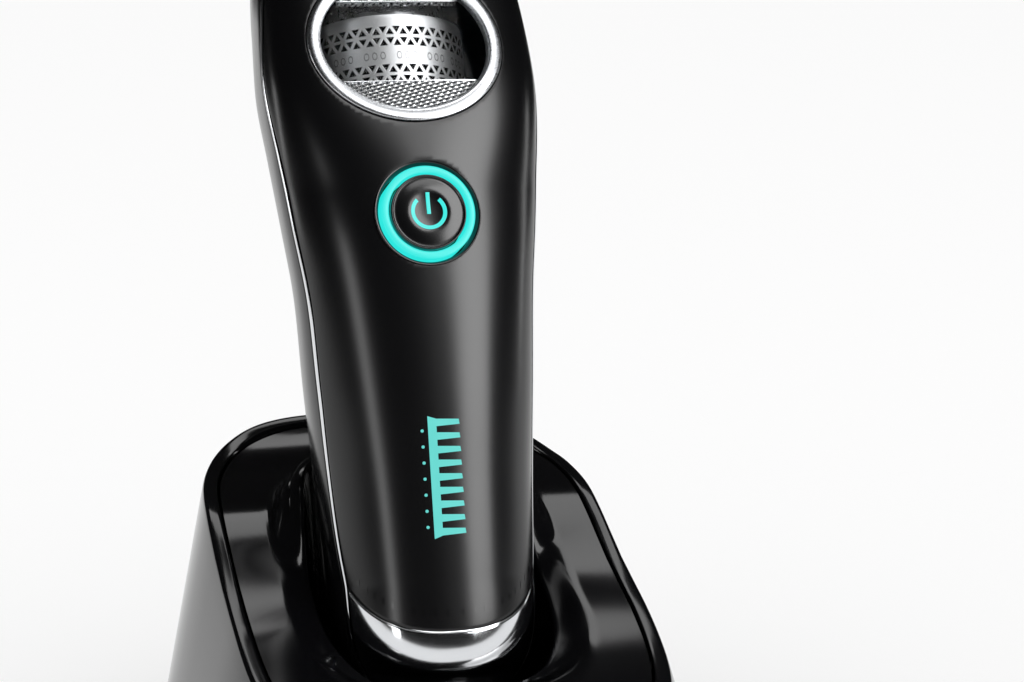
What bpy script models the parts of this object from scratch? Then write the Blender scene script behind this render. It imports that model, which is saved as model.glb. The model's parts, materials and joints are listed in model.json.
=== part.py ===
# A cordless hair clipper standing in its charging dock.
#
# Sizes are in millimetres and turned into metres when a mesh is made. The dock's frame is the world:
# +X right, +Y back, +Z up, with the origin on the table under the middle of the whole object.
# The clipper is modelled upright in its own frame, centred on the power button: +Z along the grip
# towards the blades, +Y towards the back of the clipper. An empty leans that frame back in the dock.

import math

import bmesh
import bpy
from mathutils import Matrix, Vector

MM = 0.001

# Where the clipper stands
LEAN = math.radians(14.0)
BUTTON_Y = -6.3
BUTTON_Z = 108.0

# Clipper body: height, half width, front face, widest line and back face along the grip
BODY_STATIONS = [
    (-62.0, 17.6, -0.8, 15.9, 31.9),
    (-45.0, 18.6, -0.9, 16.2, 32.9),
    (-28.0, 19.8, -1.1, 15.2, 33.4),
    (-12.0, 20.7, -0.9, 13.5, 33.4),
    (0.0, 22.1, 0.0, 13.8, 34.8),
    (12.0, 23.4, 2.1, 15.4, 37.0),
    (24.0, 24.3, 5.3, 18.7, 39.8),
    (36.0, 23.6, 9.9, 20.4, 42.0),
    (48.0, 22.4, 14.8, 23.0, 43.6),
    (62.0, 22.2, 19.2, 28.4, 44.6),
    (75.0, 22.2, 23.2, 33.5, 44.4),
    (83.0, 21.6, 29.5, 36.5, 44.0),
]
ROUND_START = -64.0
ROUND_DEPTH = 19.0
ROUND_POWER = 2.6
BODY_BOTTOM = -80.0
FRONT_POWER = 2.3
HEAD_FRONT_POWER = 3.3
GRIP_BACK_POWER = 2.3
HEAD_BACK_POWER = 5.0
WALL = 2.0
GAP = 0.3

# Seam between the front cover and the back shell: the cover's edge forward of the widest line by height,
# and how far behind that line the trim and the shell lie
SEAM_LINE = [
    (-80.0, 7.2),
    (-73.0, 7.9),
    (-63.0, 8.1),
    (-53.0, 7.3),
    (-42.0, 7.1),
    (-30.0, 7.1),
    (-18.0, 6.4),
    (-6.0, 5.4),
    (6.0, 5.0),
    (20.0, 5.4),
    (32.0, 5.0),
    (44.0, 4.4),
]
COVER_EDGE = 0.0
TRIM_FRONT = 0.3
TRIM_BACK = 1.1
SHELL_EDGE = 1.4
COVER_TOP = 82.0
COVER_BOTTOM = -70.0
COVER_CORNER_RISE = 8.0
COVER_CORNER_POWER = 2.1
SHELL_SIDE_TOP = 80.0
SHELL_BACK_TOP = 65.0
SHELL_SCREW_HEIGHTS = (-66.0, 56.0)

# Window in the front cover
WINDOW_Z = 30.45
WINDOW_HALF = (14.75, 12.2)
BEZEL_BAND = 2.35
BEZEL_PROUD = 0.5
LENS_THICKNESS = 1.2
PLATE_CHORDS = (8.0, 6.8)
PLATE_DEPTH = 1.8
PLATE_THICKNESS = 1.4

# Power button, on the front face's own slope
BUTTON_SLOPE = math.radians(8.0)
BUTTON_RADIUS = 6.5
RING_INNER = 6.8
RING_OUTER = 8.1
COLLAR_OUTER = 8.75
BUTTON_HOLE = 9.05

# Motor
MOTOR_LEAN = math.radians(7.0)
MOTOR_CENTRE = (25.9, 30.0)
MOTOR_RADIUS = 11.0
MOTOR_HALF_LENGTH = 16.0
SLEEVE_CENTRE_Y = 27.4
SLEEVE_RADIUS = 14.6
SLEEVE_RANGE = (16.0, 36.5)
THROW = 1.2

# Blades
BLADE_TIP = 97.0
BLADE_BASE = 66.0
BLADE_FACE = (41.0, 43.4)
CUTTER_FACE = (38.3, 40.7)
FIXED_HALF_WIDTH = 21.5
FIXED_PITCH = 1.75
FIXED_TOOTH = 1.0
CUTTER_HALF_WIDTH = 17.5
CUTTER_PITCH = 2.2
CUTTER_TOOTH = 1.1
CUTTER_BASE = 75.5
CUTTER_SHORT = 0.8
TOOTH_ROOT = 88.0
BLADE_SCREW_X = 12.0
BLADE_SCREW_Z = 69.0
SPRING_PLANE = 34.1
LEVER_PIVOT = (34.5, 71.0)
CAM_OFFSET = 1.89
CAM_REST = math.radians(25.0)
CAM_PIN_RADIUS = 1.2
LEVER_LENGTH = 24.0

# Dock: outline half sizes and centre, at the rim and at the table
RIM_HALF = (35.6, 48.9)
RIM_CENTRE_Y = 2.7
BASE_HALF = (45.8, 55.8)
BASE_CENTRE_Y = 4.0
DOCK_POWER = 3.7
RIM_WALL = 2.6
RIM_HEIGHTS = [
    (-48.2, 29.2),
    (-34.7, 32.1),
    (-22.1, 35.9),
    (-10.0, 40.5),
    (3.0, 45.4),
    (14.8, 51.3),
    (21.4, 54.2),
    (30.5, 56.4),
    (36.8, 57.6),
    (42.0, 59.2),
    (46.0, 60.9),
    (49.0, 62.6),
    (51.6, 64.0),
]
DOCK_BOTTOM = 2.0
FOOT_HEIGHT = 2.0
DECK_DROP = 0.4
RISE_START = 0.55
SOCKET_EDGE_HEIGHTS = [
    (-24.0, 32.0),
    (-19.3, 33.3),
    (-12.8, 36.2),
    (-4.1, 39.9),
    (4.3, 44.6),
    (9.0, 50.0),
    (12.5, 55.6),
    (15.5, 59.8),
    (20.0, 62.0),
    (26.0, 63.0),
    (40.0, 63.6),
]
SOCKET_HALF_WIDTH = 20.2
SOCKET_FRONT = -4.2
SOCKET_MIDDLE = 18.0
SOCKET_BACK = 36.2
SOCKET_POWER = 2.6
SOCKET_FLOOR = -83.5
DECK_THICKNESS = 2.0
DOCK_SEGMENTS = 48
CONTACT_ROWS = (8.0, 23.0)
DOCK_Y = BUTTON_Y


def clear_scene():
    for item in list(bpy.data.objects):
        bpy.data.objects.remove(item, do_unlink=True)


# --- Curves -----------------------------------------------------------------------------------------


def blend_curve(points, at):
    # A smooth curve through (position, value) points, level past its ends.
    if at <= points[0][0]:
        return points[0][1]
    if at >= points[-1][0]:
        return points[-1][1]
    last = len(points) - 1
    i = max(k for k in range(last) if points[k][0] <= at)

    def slope(k):
        low, high = max(k - 1, 0), min(k + 1, last)
        return (points[high][1] - points[low][1]) / (points[high][0] - points[low][0])

    span = points[i + 1][0] - points[i][0]
    t = (at - points[i][0]) / span
    start = points[i][1] * (2 * t**3 - 3 * t**2 + 1) + slope(i) * span * (t**3 - 2 * t**2 + t)
    end = points[i + 1][1] * (3 * t**2 - 2 * t**3) + slope(i + 1) * span * (t**3 - t**2)
    return start + end


def ease(t):
    t = min(max(t, 0.0), 1.0)
    return t * t * (3 - 2 * t)


def signed_power(value, power):
    return math.copysign(abs(value) ** power, value)


def body_section(z):
    # Half width, front, widest line and back at a height on the clipper; its end is rounded.
    height = max(z, ROUND_START)
    half, front, widest, back = (
        blend_curve([(row[0], row[column]) for row in BODY_STATIONS], height) for column in range(1, 5)
    )
    if z < ROUND_START:
        drop = (ROUND_START - z) / ROUND_DEPTH
        half *= (1 - drop**ROUND_POWER) ** (1 / ROUND_POWER)
        deep = (1 - drop**4) ** 0.25
        front = widest - (widest - front) * deep
        back = widest + (back - widest) * deep
    return half, front, widest, back


def front_power(z):
    # The front is rounder along the grip and flatter round the window.
    return FRONT_POWER + (HEAD_FRONT_POWER - FRONT_POWER) * ease((z - 4.0) / 22.0)


def body_point(z, angle, inset=0.0):
    # Angle 0 is the middle of the front, 90 degrees the right-hand widest line.
    half, front, widest, back = body_section(z)
    if math.cos(angle) > 0:
        power = 2 / front_power(z)
        depth = widest - front - inset
    else:
        head = ease((z - 25.0) / 37.0)
        power = 2 / (GRIP_BACK_POWER + (HEAD_BACK_POWER - GRIP_BACK_POWER) * head)
        depth = back - widest - inset
    x = (half - inset) * signed_power(math.sin(angle), power)
    y = widest - depth * signed_power(math.cos(angle), power)
    return Vector((x, y, z))


def seam_angle(z, behind):
    # The angle at which the body's surface is this far behind the front cover's edge.
    _, front, widest, _ = body_section(z)
    forward = blend_curve(SEAM_LINE, z) - behind
    return math.acos((forward / (widest - front)) ** (front_power(z) / 2))


def front_surface(x, z, inset=0.0):
    half, front, widest, _ = body_section(z)
    side = min(abs(x) / (half - inset), 0.999)
    power = front_power(z)
    return widest - (widest - front - inset) * (1 - side**power) ** (1 / power)


def rim_height(y):
    return blend_curve(RIM_HEIGHTS, y)


def dock_outline(half, centre_y, angle, inset=0.0):
    power = 2 / DOCK_POWER
    x = (half[0] - inset) * signed_power(math.sin(angle), power)
    y = centre_y - (half[1] - inset) * signed_power(math.cos(angle), power)
    return x, y


# --- Mesh builders ----------------------------------------------------------------------------------


def material(name, colour, roughness, metallic=0.0):
    made = bpy.data.materials.new(name)
    made.use_nodes = True
    shader = made.node_tree.nodes["Principled BSDF"]
    shader.inputs["Base Color"].default_value = (*colour, 1.0)
    shader.inputs["Roughness"].default_value = roughness
    shader.inputs["Metallic"].default_value = metallic
    made.diffuse_color = (*colour, 1.0)
    return made


def add_object(name, bm, look, parent=None):
    bmesh.ops.remove_doubles(bm, verts=bm.verts, dist=1e-7)
    bmesh.ops.recalc_face_normals(bm, faces=bm.faces)
    mesh = bpy.data.meshes.new(name)
    bm.to_mesh(mesh)
    bm.free()
    mesh.shade_smooth()
    mesh.set_sharp_from_angle(angle=math.radians(35))
    made = bpy.data.objects.new(name, mesh)
    bpy.context.collection.objects.link(made)
    made.parent = parent
    mesh.materials.append(look)
    return made


def add_verts(bm, points):
    return [bm.verts.new(Vector(point) * MM) for point in points]


def from_rings(name, rings, look, parent=None, joined=False):
    # Closed solid through rings of points: capped at both ends, or joined end to start.
    bm = bmesh.new()
    loops = [add_verts(bm, ring) for ring in rings]
    count = len(loops[0])
    pairs = list(zip(loops, loops[1:]))
    if joined:
        pairs.append((loops[-1], loops[0]))
    for low, high in pairs:
        for i in range(count):
            j = (i + 1) % count
            bm.faces.new((low[i], low[j], high[j], high[i]))
    if not joined:
        bm.faces.new(loops[0])
        bm.faces.new(loops[-1])
    return add_object(name, bm, look, parent)


def from_grids(name, outer, inner, look, parent=None):
    # Closed panel between an outer and an inner grid of points.
    bm = bmesh.new()
    outside = [add_verts(bm, row) for row in outer]
    inside = [add_verts(bm, row) for row in inner]
    rows, columns = len(outside), len(outside[0])
    for grid in (outside, inside):
        for i in range(rows - 1):
            for j in range(columns - 1):
                bm.faces.new((grid[i][j], grid[i][j + 1], grid[i + 1][j + 1], grid[i + 1][j]))
    edge = [(0, j) for j in range(columns)]
    edge += [(i, columns - 1) for i in range(1, rows)]
    edge += [(rows - 1, j) for j in range(columns - 2, -1, -1)]
    edge += [(i, 0) for i in range(rows - 2, 0, -1)]
    for (a, b), (c, d) in zip(edge, edge[1:] + edge[:1]):
        bm.faces.new((outside[a][b], outside[c][d], inside[c][d], inside[a][b]))
    return add_object(name, bm, look, parent)


def box(name, low, high, look, parent=None):
    bm = bmesh.new()
    bmesh.ops.create_cube(bm, size=1.0)
    size = [b - a for a, b in zip(low, high)]
    middle = [(a + b) / 2 for a, b in zip(low, high)]
    for vert in bm.verts:
        vert.co = Vector([(vert.co[k] * size[k] + middle[k]) * MM for k in range(3)])
    return add_object(name, bm, look, parent)


def circle_frame(axis):
    axis = Vector(axis).normalized()
    across = Vector((1, 0, 0)) if abs(axis.x) < 0.9 else Vector((0, 1, 0))
    across = (across - axis * across.dot(axis)).normalized()
    return axis, across, axis.cross(across)


def turned(name, base, axis, profile, look, parent=None, segments=24, hollow=False):
    # Solid of (radius, height) points turned about an axis; hollow profiles come back to their start.
    axis, across, up = circle_frame(axis)
    base = Vector(base)
    rings = []
    for radius, height in profile:
        ring = []
        for i in range(segments):
            angle = 2 * math.pi * i / segments
            ring.append(base + axis * height + (across * math.cos(angle) + up * math.sin(angle)) * radius)
        rings.append(ring)
    return from_rings(name, rings, look, parent, joined=hollow)


def rod(name, start, end, radius, look, parent=None, segments=16):
    start, end = Vector(start), Vector(end)
    length = (end - start).length
    return turned(name, start, end - start, [(radius, 0), (radius, length)], look, parent, segments)


def tube(name, start, end, outer, inner, look, parent=None, segments=20):
    start, end = Vector(start), Vector(end)
    length = (end - start).length
    profile = [(outer, 0), (outer, length), (inner, length), (inner, 0)]
    return turned(name, start, end - start, profile, look, parent, segments, hollow=True)


def extruded(name, outline, axis_index, low, high, look, parent=None):
    # A flat outline pushed along one axis; the outline's points keep the other two axes in order.
    def place(point, depth):
        values = list(point)
        values.insert(axis_index, depth)
        return values

    rings = [[place(point, depth) for point in outline] for depth in (low, high)]
    return from_rings(name, rings, look, parent)


def combine(target, tool, operation):
    tool.hide_render = True
    tool.display_type = "WIRE"
    step = target.modifiers.new(operation.title(), "BOOLEAN")
    step.operation = operation
    step.object = tool
    return target


def cut(target, tool):
    return combine(target, tool, "DIFFERENCE")


def join(target, tool):
    return combine(target, tool, "UNION")


def empty(name, location, tilt, parent=None):
    made = bpy.data.objects.new(name, None)
    made.empty_display_size = 0.01
    made.location = Vector(location) * MM
    made.rotation_euler = (-tilt, 0, 0)
    made.parent = parent
    bpy.context.collection.objects.link(made)
    return made


def screw(name, base, axis, head, shank, length, look, parent=None):
    # Pan head above the base point, shank below it, with a straight driver slot.
    axis = Vector(axis).normalized()
    profile = [(shank, -length), (shank, 0), (head, 0), (head, 0.7), (head * 0.75, 1.1)]
    made = turned(name, base, axis, profile, look, parent, segments=10)
    _, across, up = circle_frame(axis)
    low = Vector(base) + axis * 0.55
    corners = [across * (head * 0.6) + up * 0.3, across * (-head * 0.6) + up * 0.3]
    corners += [across * (-head * 0.6) - up * 0.3, across * (head * 0.6) - up * 0.3]
    rings = [[low + corner + axis * rise for corner in corners] for rise in (0.0, 1.5)]
    return cut(made, from_rings(name + "_slot", rings, look, parent))


# --- Clipper body -----------------------------------------------------------------------------------


def cover_bottom(u):
    return COVER_BOTTOM + COVER_CORNER_RISE * abs(u) ** COVER_CORNER_POWER


def spread(start, end, count):
    return [start + (end - start) * i / (count - 1) for i in range(count)]


def make_front_cover(look, frame):
    heights = spread(COVER_BOTTOM, 70.0, 25) + [75.0, 79.0, COVER_TOP]
    grids = []
    for inset in (0.0, WALL):
        grid = []
        for height in heights:
            row = []
            for u in spread(-1.0, 1.0, 17):
                lift = (cover_bottom(u) - COVER_BOTTOM) * (1 - ease((height - COVER_BOTTOM) / 24.0))
                z = height + lift
                row.append(body_point(z, u * seam_angle(z, COVER_EDGE), inset))
            grid.append(row)
        grids.append(grid)
    cover = from_grids("front_cover", grids[0], grids[1], look, frame)

    half = [size + BEZEL_BAND + GAP for size in WINDOW_HALF]
    outline = []
    for i in range(40):
        angle = 2 * math.pi * i / 40
        outline.append((half[0] * math.cos(angle), WINDOW_Z + half[1] * math.sin(angle)))
    cut(cover, extruded("window_cutter", outline, 1, -5.0, 22.0, look, frame))
    cut(cover, rod("button_cutter", button_point(-5), button_point(6), BUTTON_HOLE, look, frame, 32))
    return cover


def make_end_plate(look, frame):
    grids = []
    for inset in (0.0, WALL):
        grid = []
        for part in spread(0.0, 1.0, 6):
            row = []
            for u in spread(-1.0, 1.0, 17):
                top = cover_bottom(u) - GAP
                z = BODY_BOTTOM + (top - BODY_BOTTOM) * part
                row.append(body_point(z, u * seam_angle(z, COVER_EDGE), inset))
            grid.append(row)
        grids.append(grid)
    return from_grids("end_plate", grids[0], grids[1], look, frame)


def make_back_shell(look, frame):
    bottom_heights = [BODY_BOTTOM, -77.5, -74.0, -70.0, -66.0, ROUND_START]
    body_heights = spread(-56.0, 57.0, 20)
    grids = []
    for inset in (0.0, WALL):
        grid = []
        for row_index in range(len(bottom_heights) + len(body_heights) + 3):
            row = []
            for u in spread(0.0, 1.0, 27):
                # Past the last full row, the wall climbs to its own edge: low behind, high at the sides
                guess = math.pi + (2 * u - 1) * (math.pi - seam_angle(70.0, SHELL_EDGE))
                behind = ease((body_point(70.0, guess).y - 37.5) / 2.5)
                edge = SHELL_SIDE_TOP + (SHELL_BACK_TOP - SHELL_SIDE_TOP) * behind
                if row_index < len(bottom_heights):
                    z = bottom_heights[row_index]
                elif row_index < len(bottom_heights) + len(body_heights):
                    z = body_heights[row_index - len(bottom_heights)]
                else:
                    step = row_index - len(bottom_heights) - len(body_heights) + 1
                    z = body_heights[-1] + (edge - body_heights[-1]) * step / 3
                start = seam_angle(z, SHELL_EDGE)
                row.append(body_point(z, start + (2 * math.pi - 2 * start) * u, inset))
            grid.append(row)
        grids.append(grid)
    shell = from_grids("back_shell", grids[0], grids[1], look, frame)
    y, z = LEVER_PIVOT
    cut(shell, rod("lever_hole", (-28, y, z), (-15, y, z), 2.8, look, frame, 24))
    for height in SHELL_SCREW_HEIGHTS:
        back = body_section(height)[3]
        cut(shell, rod("screw_hole", (0, back - 6, height), (0, back + 3, height), 1.5, look, frame, 16))
        cut(shell, rod("screw_seat", (0, back - 1.2, height), (0, back + 3, height), 2.7, look, frame, 20))
    return shell


def make_seam_trims(look, frame):
    for side, name in ((-1, "left"), (1, "right")):
        grids = []
        for inset in (-0.15, 1.2):
            grid = []
            for z in [-79.0, -76.0, -72.0, -67.0] + spread(ROUND_START, 70.0, 31) + [76.0, 80.0]:
                angles = [seam_angle(z, TRIM_FRONT), seam_angle(z, TRIM_BACK)]
                grid.append([body_point(z, side * angle, inset) for angle in angles])
            grids.append(grid)
        from_grids(f"seam_trim_{name}", grids[0], grids[1], look, frame)


def make_bottom_cap(plastic, metal, frame):
    outline = []
    for i in range(32):
        point = body_point(BODY_BOTTOM, 2 * math.pi * i / 32, WALL + GAP)
        outline.append((point.x, point.y))
    cap = extruded("bottom_cap", outline, 2, BODY_BOTTOM, BODY_BOTTOM + 3.0, plastic, frame)
    for y in CONTACT_ROWS:
        cut(cap, rod(f"contact_hole_{y}", (0, y, -82), (0, y, -76), 1.8, plastic, frame, 20))
    cut(cap, box("port_hole", (-1.9, 11.0, -82), (1.9, 20.0, -76), plastic, frame))
    for name, y in zip(("front", "rear"), CONTACT_ROWS):
        rod(f"charge_contact_{name}", (0, y, -79.4), (0, y, -77.4), 1.5, metal, frame, 16)
    port = box("charge_port", (-1.6, 11.3, -79.8), (1.6, 19.7, -72.5), metal, frame)
    cut(port, box("port_mouth", (-1.1, 11.8, -81), (1.1, 19.2, -74.0), metal, frame))


# --- Window -----------------------------------------------------------------------------------------


def window_ring(scale_x, scale_z, inset, count=40):
    ring = []
    for i in range(count):
        angle = 2 * math.pi * i / count
        x, z = scale_x * math.cos(angle), WINDOW_Z + scale_z * math.sin(angle)
        ring.append((x, front_surface(x, z) + inset, z))
    return ring


def make_window(looks, frame):
    inner_x, inner_z = WINDOW_HALF
    outer_x, outer_z = inner_x + BEZEL_BAND, inner_z + BEZEL_BAND
    bezel_rings = [
        window_ring(inner_x, inner_z, 2.6),
        window_ring(inner_x, inner_z, -0.1),
        window_ring(inner_x + 0.5, inner_z + 0.5, -BEZEL_PROUD),
        window_ring(outer_x - 0.4, outer_z - 0.4, -BEZEL_PROUD),
        window_ring(outer_x, outer_z, -0.1),
        window_ring(outer_x, outer_z, 2.6),
    ]
    from_rings("window_bezel", bezel_rings, looks["chrome"], frame, joined=True)

    sizes = [0.3, 0.7, 1.0]
    edge_x, edge_z = inner_x - GAP, inner_z - GAP
    lens_rings = [window_ring(edge_x * k, edge_z * k, 0.1) for k in sizes]
    lens_rings += [window_ring(edge_x * k, edge_z * k, 0.1 + LENS_THICKNESS) for k in reversed(sizes)]
    from_rings("window_lens", lens_rings, looks["lens"], frame)

    for name, side, chord in (("upper", 1, PLATE_CHORDS[0]), ("lower", -1, PLATE_CHORDS[1])):
        chord_end = (inner_x - 0.6) * math.sqrt(1 - (chord / (inner_z - 0.6)) ** 2)
        grids = []
        for depth in (PLATE_DEPTH, PLATE_DEPTH + PLATE_THICKNESS):
            grid = []
            for part in spread(0.0, 1.0, 4):
                row = []
                for x in spread(-0.96 * chord_end, 0.96 * chord_end, 15):
                    arc = (inner_z - 0.6) * math.sqrt(1 - (x / (inner_x - 0.6)) ** 2)
                    z = WINDOW_Z + side * (chord + (arc - chord) * part)
                    row.append((x, front_surface(x, z) + depth, z))
                grid.append(row)
            grids.append(grid)
        from_grids(f"{name}_window_plate", grids[0], grids[1], looks["woven"], frame)


# --- Button -----------------------------------------------------------------------------------------


def button_point(depth, z=0.0):
    # A point on the button's own axis, by depth below the front face.
    return Vector((0, depth * math.cos(BUTTON_SLOPE), -depth * math.sin(BUTTON_SLOPE) + z))


def make_button(looks, frame, button_frame):
    outward = (0, -1, 0)
    bore = RING_OUTER + 0.3
    collar = [(bore, -4.4), (COLLAR_OUTER, -4.4), (COLLAR_OUTER, -0.4), (bore, -0.3)]
    turned("button_collar", (0, 0, 0), outward, collar, looks["gloss"], button_frame, 32, hollow=True)
    ring = [(RING_INNER, -4.4), (RING_OUTER, -4.4), (RING_OUTER, 0.1), (RING_INNER, 0.1)]
    turned("light_ring", (0, 0, 0), outward, ring, looks["teal"], button_frame, 32, hollow=True)
    edge = BUTTON_RADIUS
    cap = [(1.5, -4.0), (1.5, -2.2), (edge, -2.2), (edge, 0.2), (edge - 0.5, 0.5), (edge - 1.0, 0.2)]
    cap.append((edge * 0.4, 0.46))
    turned("power_button", (0, 0, 0), outward, cap, looks["gloss"], button_frame, 28)
    box("button_switch", (-3, 5.6, -3), (3, 7.4, 3), looks["dark"], frame)


# --- Inside the clipper -----------------------------------------------------------------------------


def motor_point(along, radius=0.0):
    y = MOTOR_CENTRE[0] + along * math.sin(MOTOR_LEAN)
    z = MOTOR_CENTRE[1] + along * math.cos(MOTOR_LEAN)
    return Vector((radius, y, z))


def make_drive(looks, frame):
    axis = (0, math.sin(MOTOR_LEAN), math.cos(MOTOR_LEAN))
    half = MOTOR_HALF_LENGTH
    can = [(1.4, half), (MOTOR_RADIUS - 0.6, half), (MOTOR_RADIUS, half - 0.6), (MOTOR_RADIUS, -half + 3.4)]
    can += [(MOTOR_RADIUS - 1.0, -half + 3.4), (MOTOR_RADIUS - 1.0, half - 1.2), (1.4, half - 1.2)]
    turned("motor_can", motor_point(0), axis, can, looks["steel"], frame, 28, hollow=True)
    bell = [(1.4, -half), (MOTOR_RADIUS - 0.8, -half), (MOTOR_RADIUS, -half + 0.6)]
    bell += [(MOTOR_RADIUS, -half + 3.1), (1.4, -half + 3.1)]
    turned("motor_endbell", motor_point(0), axis, bell, looks["dark"], frame, 28, hollow=True)
    rod("motor_shaft", motor_point(-half + 1), motor_point(half + 6.5), 1.0, looks["steel"], frame, 12)
    tube("motor_rotor", motor_point(-8), motor_point(10), 8.8, 1.3, looks["copper"], frame, 24)

    disc = [(1.3, half + 1.5), (4.4, half + 1.5), (4.4, half + 6.2), (1.3, half + 6.2)]
    turned("eccentric_disc", motor_point(0), axis, disc, looks["brass"], frame, 24, hollow=True)
    pin_foot, pin_tip = motor_point(half + 6.9, THROW), motor_point(half + 17, THROW)
    pin = rod("eccentric_pin", pin_foot, pin_tip, 1.0, looks["steel"], frame, 16)
    cap_foot, cap_top = motor_point(half + 6.6), motor_point(half + 7.4)
    join(pin, rod("eccentric_cap", cap_foot, cap_top, 4.0, looks["steel"], frame, 24))

    # The perforated sleeve is a half ring round the front of the motor, with short flanges behind
    low, high = SLEEVE_RANGE
    lean_step = math.tan(MOTOR_LEAN)
    grids = []
    for radius in (SLEEVE_RADIUS, SLEEVE_RADIUS - 1.0):
        grid = []
        for z in (low, (low + high) / 2, high):
            centre = SLEEVE_CENTRE_Y + (z - WINDOW_Z) * lean_step
            row = []
            for angle in spread(-1.75, 1.75, 25):
                drop = radius * (1 - math.cos(angle)) * math.sin(MOTOR_LEAN)
                row.append((radius * math.sin(angle), centre - radius * math.cos(angle), z - drop))
            grid.append(row)
        grids.append(grid)
    from_grids("motor_sleeve", grids[0], grids[1], looks["silver"], frame)


def make_electronics(looks, frame):
    board = box("circuit_board", (-11, 7.7, -52), (11, 9.3, 9), looks["board"], frame)
    join(board, box("controller_chip", (-4, 6.4, -26), (4, 8.0, -18), looks["dark"], frame))
    profile = [(8.6, 0), (9.1, 0.5), (9.1, 64.5), (8.6, 65)]
    turned("battery_cell", (0, 20.4, -60), (0, 0, 1), profile, looks["cell"], frame, 28)

    tray = box("inner_frame", (-12, 9.7, -64), (12, 10.9, 14), looks["frame"], frame)
    for side in (-1, 1):
        low, high = sorted((side * 10.2, side * 12.0))
        join(tray, box(f"frame_rail_{side}", (low, 10.5, -62), (high, 16, 10), looks["frame"], frame))
    join(tray, box("frame_saddle", (-12, 10.5, 7), (12, 19, 14), looks["frame"], frame))
    bore = rod("frame_bore", motor_point(-30), motor_point(0), MOTOR_RADIUS + 0.4, looks["frame"], frame, 28)
    cut(tray, bore)


# --- Head -------------------------------------------------------------------------------------------


def comb_outline(half_width, base, root, tip, pitch, tooth, shoulder):
    # Blade outline with tapered teeth between two wide shoulders.
    count = int((2 * (half_width - shoulder)) / pitch)
    half_row = count * pitch / 2
    half = tooth / 2
    outline = [(-half_width, base), (half_width, base), (half_width, root + 2)]
    outline += [(half_width - 1.5, tip - 1.5), (half_row + half, tip)]
    for i in reversed(range(count)):
        left = -half_row + pitch * i
        right = left + pitch
        outline += [(right - half * 0.5, tip), (right - half, root)]
        outline += [(left + half, root), (left + half * 0.5, tip)]
    outline += [(-half_row - half, tip), (-half_width + 1.5, tip - 1.5), (-half_width, root + 2)]
    return outline


def make_head(looks, frame):
    outline = comb_outline(FIXED_HALF_WIDTH, BLADE_BASE, TOOTH_ROOT, BLADE_TIP, FIXED_PITCH, FIXED_TOOTH, 2.5)
    fixed = extruded("fixed_blade", outline, 1, BLADE_FACE[0], BLADE_FACE[1], looks["steel"], frame)
    bevel_tool = extruded(
        "tooth_bevel", [(44.4, 86.0), (44.4, 99.0), (42.0, 99.0)], 0, -30, 30, looks["steel"], frame
    )
    cut(fixed, bevel_tool)
    for x in (-BLADE_SCREW_X, BLADE_SCREW_X):
        hole_ends = (x, 38, BLADE_SCREW_Z), (x, 46, BLADE_SCREW_Z)
        cut(fixed, rod(f"blade_hole_{x}", *hole_ends, 1.6, looks["steel"], frame, 16))

    tip, root = BLADE_TIP - CUTTER_SHORT, TOOTH_ROOT + 0.5
    outline = comb_outline(CUTTER_HALF_WIDTH, CUTTER_BASE, root, tip, CUTTER_PITCH, CUTTER_TOOTH, 2.0)
    extruded("moving_blade", outline, 1, CUTTER_FACE[0], CUTTER_FACE[1], looks["steel"], frame)

    yoke = box("drive_yoke", (-6, 35, 61), (6, 37.9, 83), looks["white"], frame)
    join(yoke, box("yoke_fork", (-6, 25, 61), (6, 36, 64), looks["white"], frame))
    cut(yoke, box("yoke_slot", (-3.6, 24, 60), (3.6, 33.4, 65), looks["white"], frame))

    bracket = box("blade_bracket", (-16.8, 38.4, 60), (16.8, 40.6, 72.6), looks["dark"], frame)
    for side, x in (("left", -BLADE_SCREW_X), ("right", BLADE_SCREW_X)):
        hole_ends = (x, 37, BLADE_SCREW_Z), (x, 42, BLADE_SCREW_Z)
        cut(bracket, rod(f"bracket_hole_{side}", *hole_ends, 1.6, looks["dark"], frame, 16))
        seat = (x, BLADE_FACE[1] + 0.3, BLADE_SCREW_Z)
        screw(f"blade_screw_{side}", seat, (0, 1, 0), 2.8, 1.25, 5.5, looks["steel"], frame)

    carriage = box("blade_carriage", (-15.5, 29.6, 67), (15.5, 33.2, 70.2), looks["frame"], frame)
    for side in (-1, 1):
        low, high = sorted((side * 11.0, side * 15.5))
        bar = box(f"carriage_bar_{side}", (low, 29.6, 64), (high, 38, 75.5), looks["frame"], frame)
        join(carriage, bar)
    pin_y = LEVER_PIVOT[0] - CAM_OFFSET * math.cos(CAM_REST)
    pin_z = LEVER_PIVOT[1] + CAM_OFFSET * math.sin(CAM_REST)
    reach = CAM_PIN_RADIUS + 0.15
    slot_low, slot_high = (-17, pin_y - 1.6, pin_z - reach), (-10.5, pin_y + 1.8, pin_z + reach)
    cut(carriage, box("cam_slot", slot_low, slot_high, looks["frame"], frame))

    make_tension_spring(looks["steel"], frame)
    make_lever(looks, frame, pin_y, pin_z)


def make_tension_spring(look, frame):
    # A hairpin of wire, clipped to the carriage, whose bend presses the yoke towards the blades
    half_route = [(-9.4, 61.0), (-9.4, 65.5), (-6.5, 72.0), (-4.0, 77.5), (-2.4, 79.6)]
    route = [(x, SPRING_PLANE, z) for x, z in half_route + [(0, 80.3)]]
    route += [(-x, SPRING_PLANE, z) for x, z in reversed(half_route)]
    radius = 0.5
    rings = []
    for i, point in enumerate(route):
        before, after = Vector(route[max(i - 1, 0)]), Vector(route[min(i + 1, len(route) - 1)])
        along = (after - before).normalized()
        across = along.cross(Vector((0, 1, 0)))
        ring = []
        for k in range(8):
            angle = 2 * math.pi * k / 8
            turn = across * math.cos(angle) + Vector((0, 1, 0)) * math.sin(angle)
            ring.append(Vector(point) + turn * radius)
        rings.append(ring)
    from_rings("tension_spring", rings, look, frame)


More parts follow.
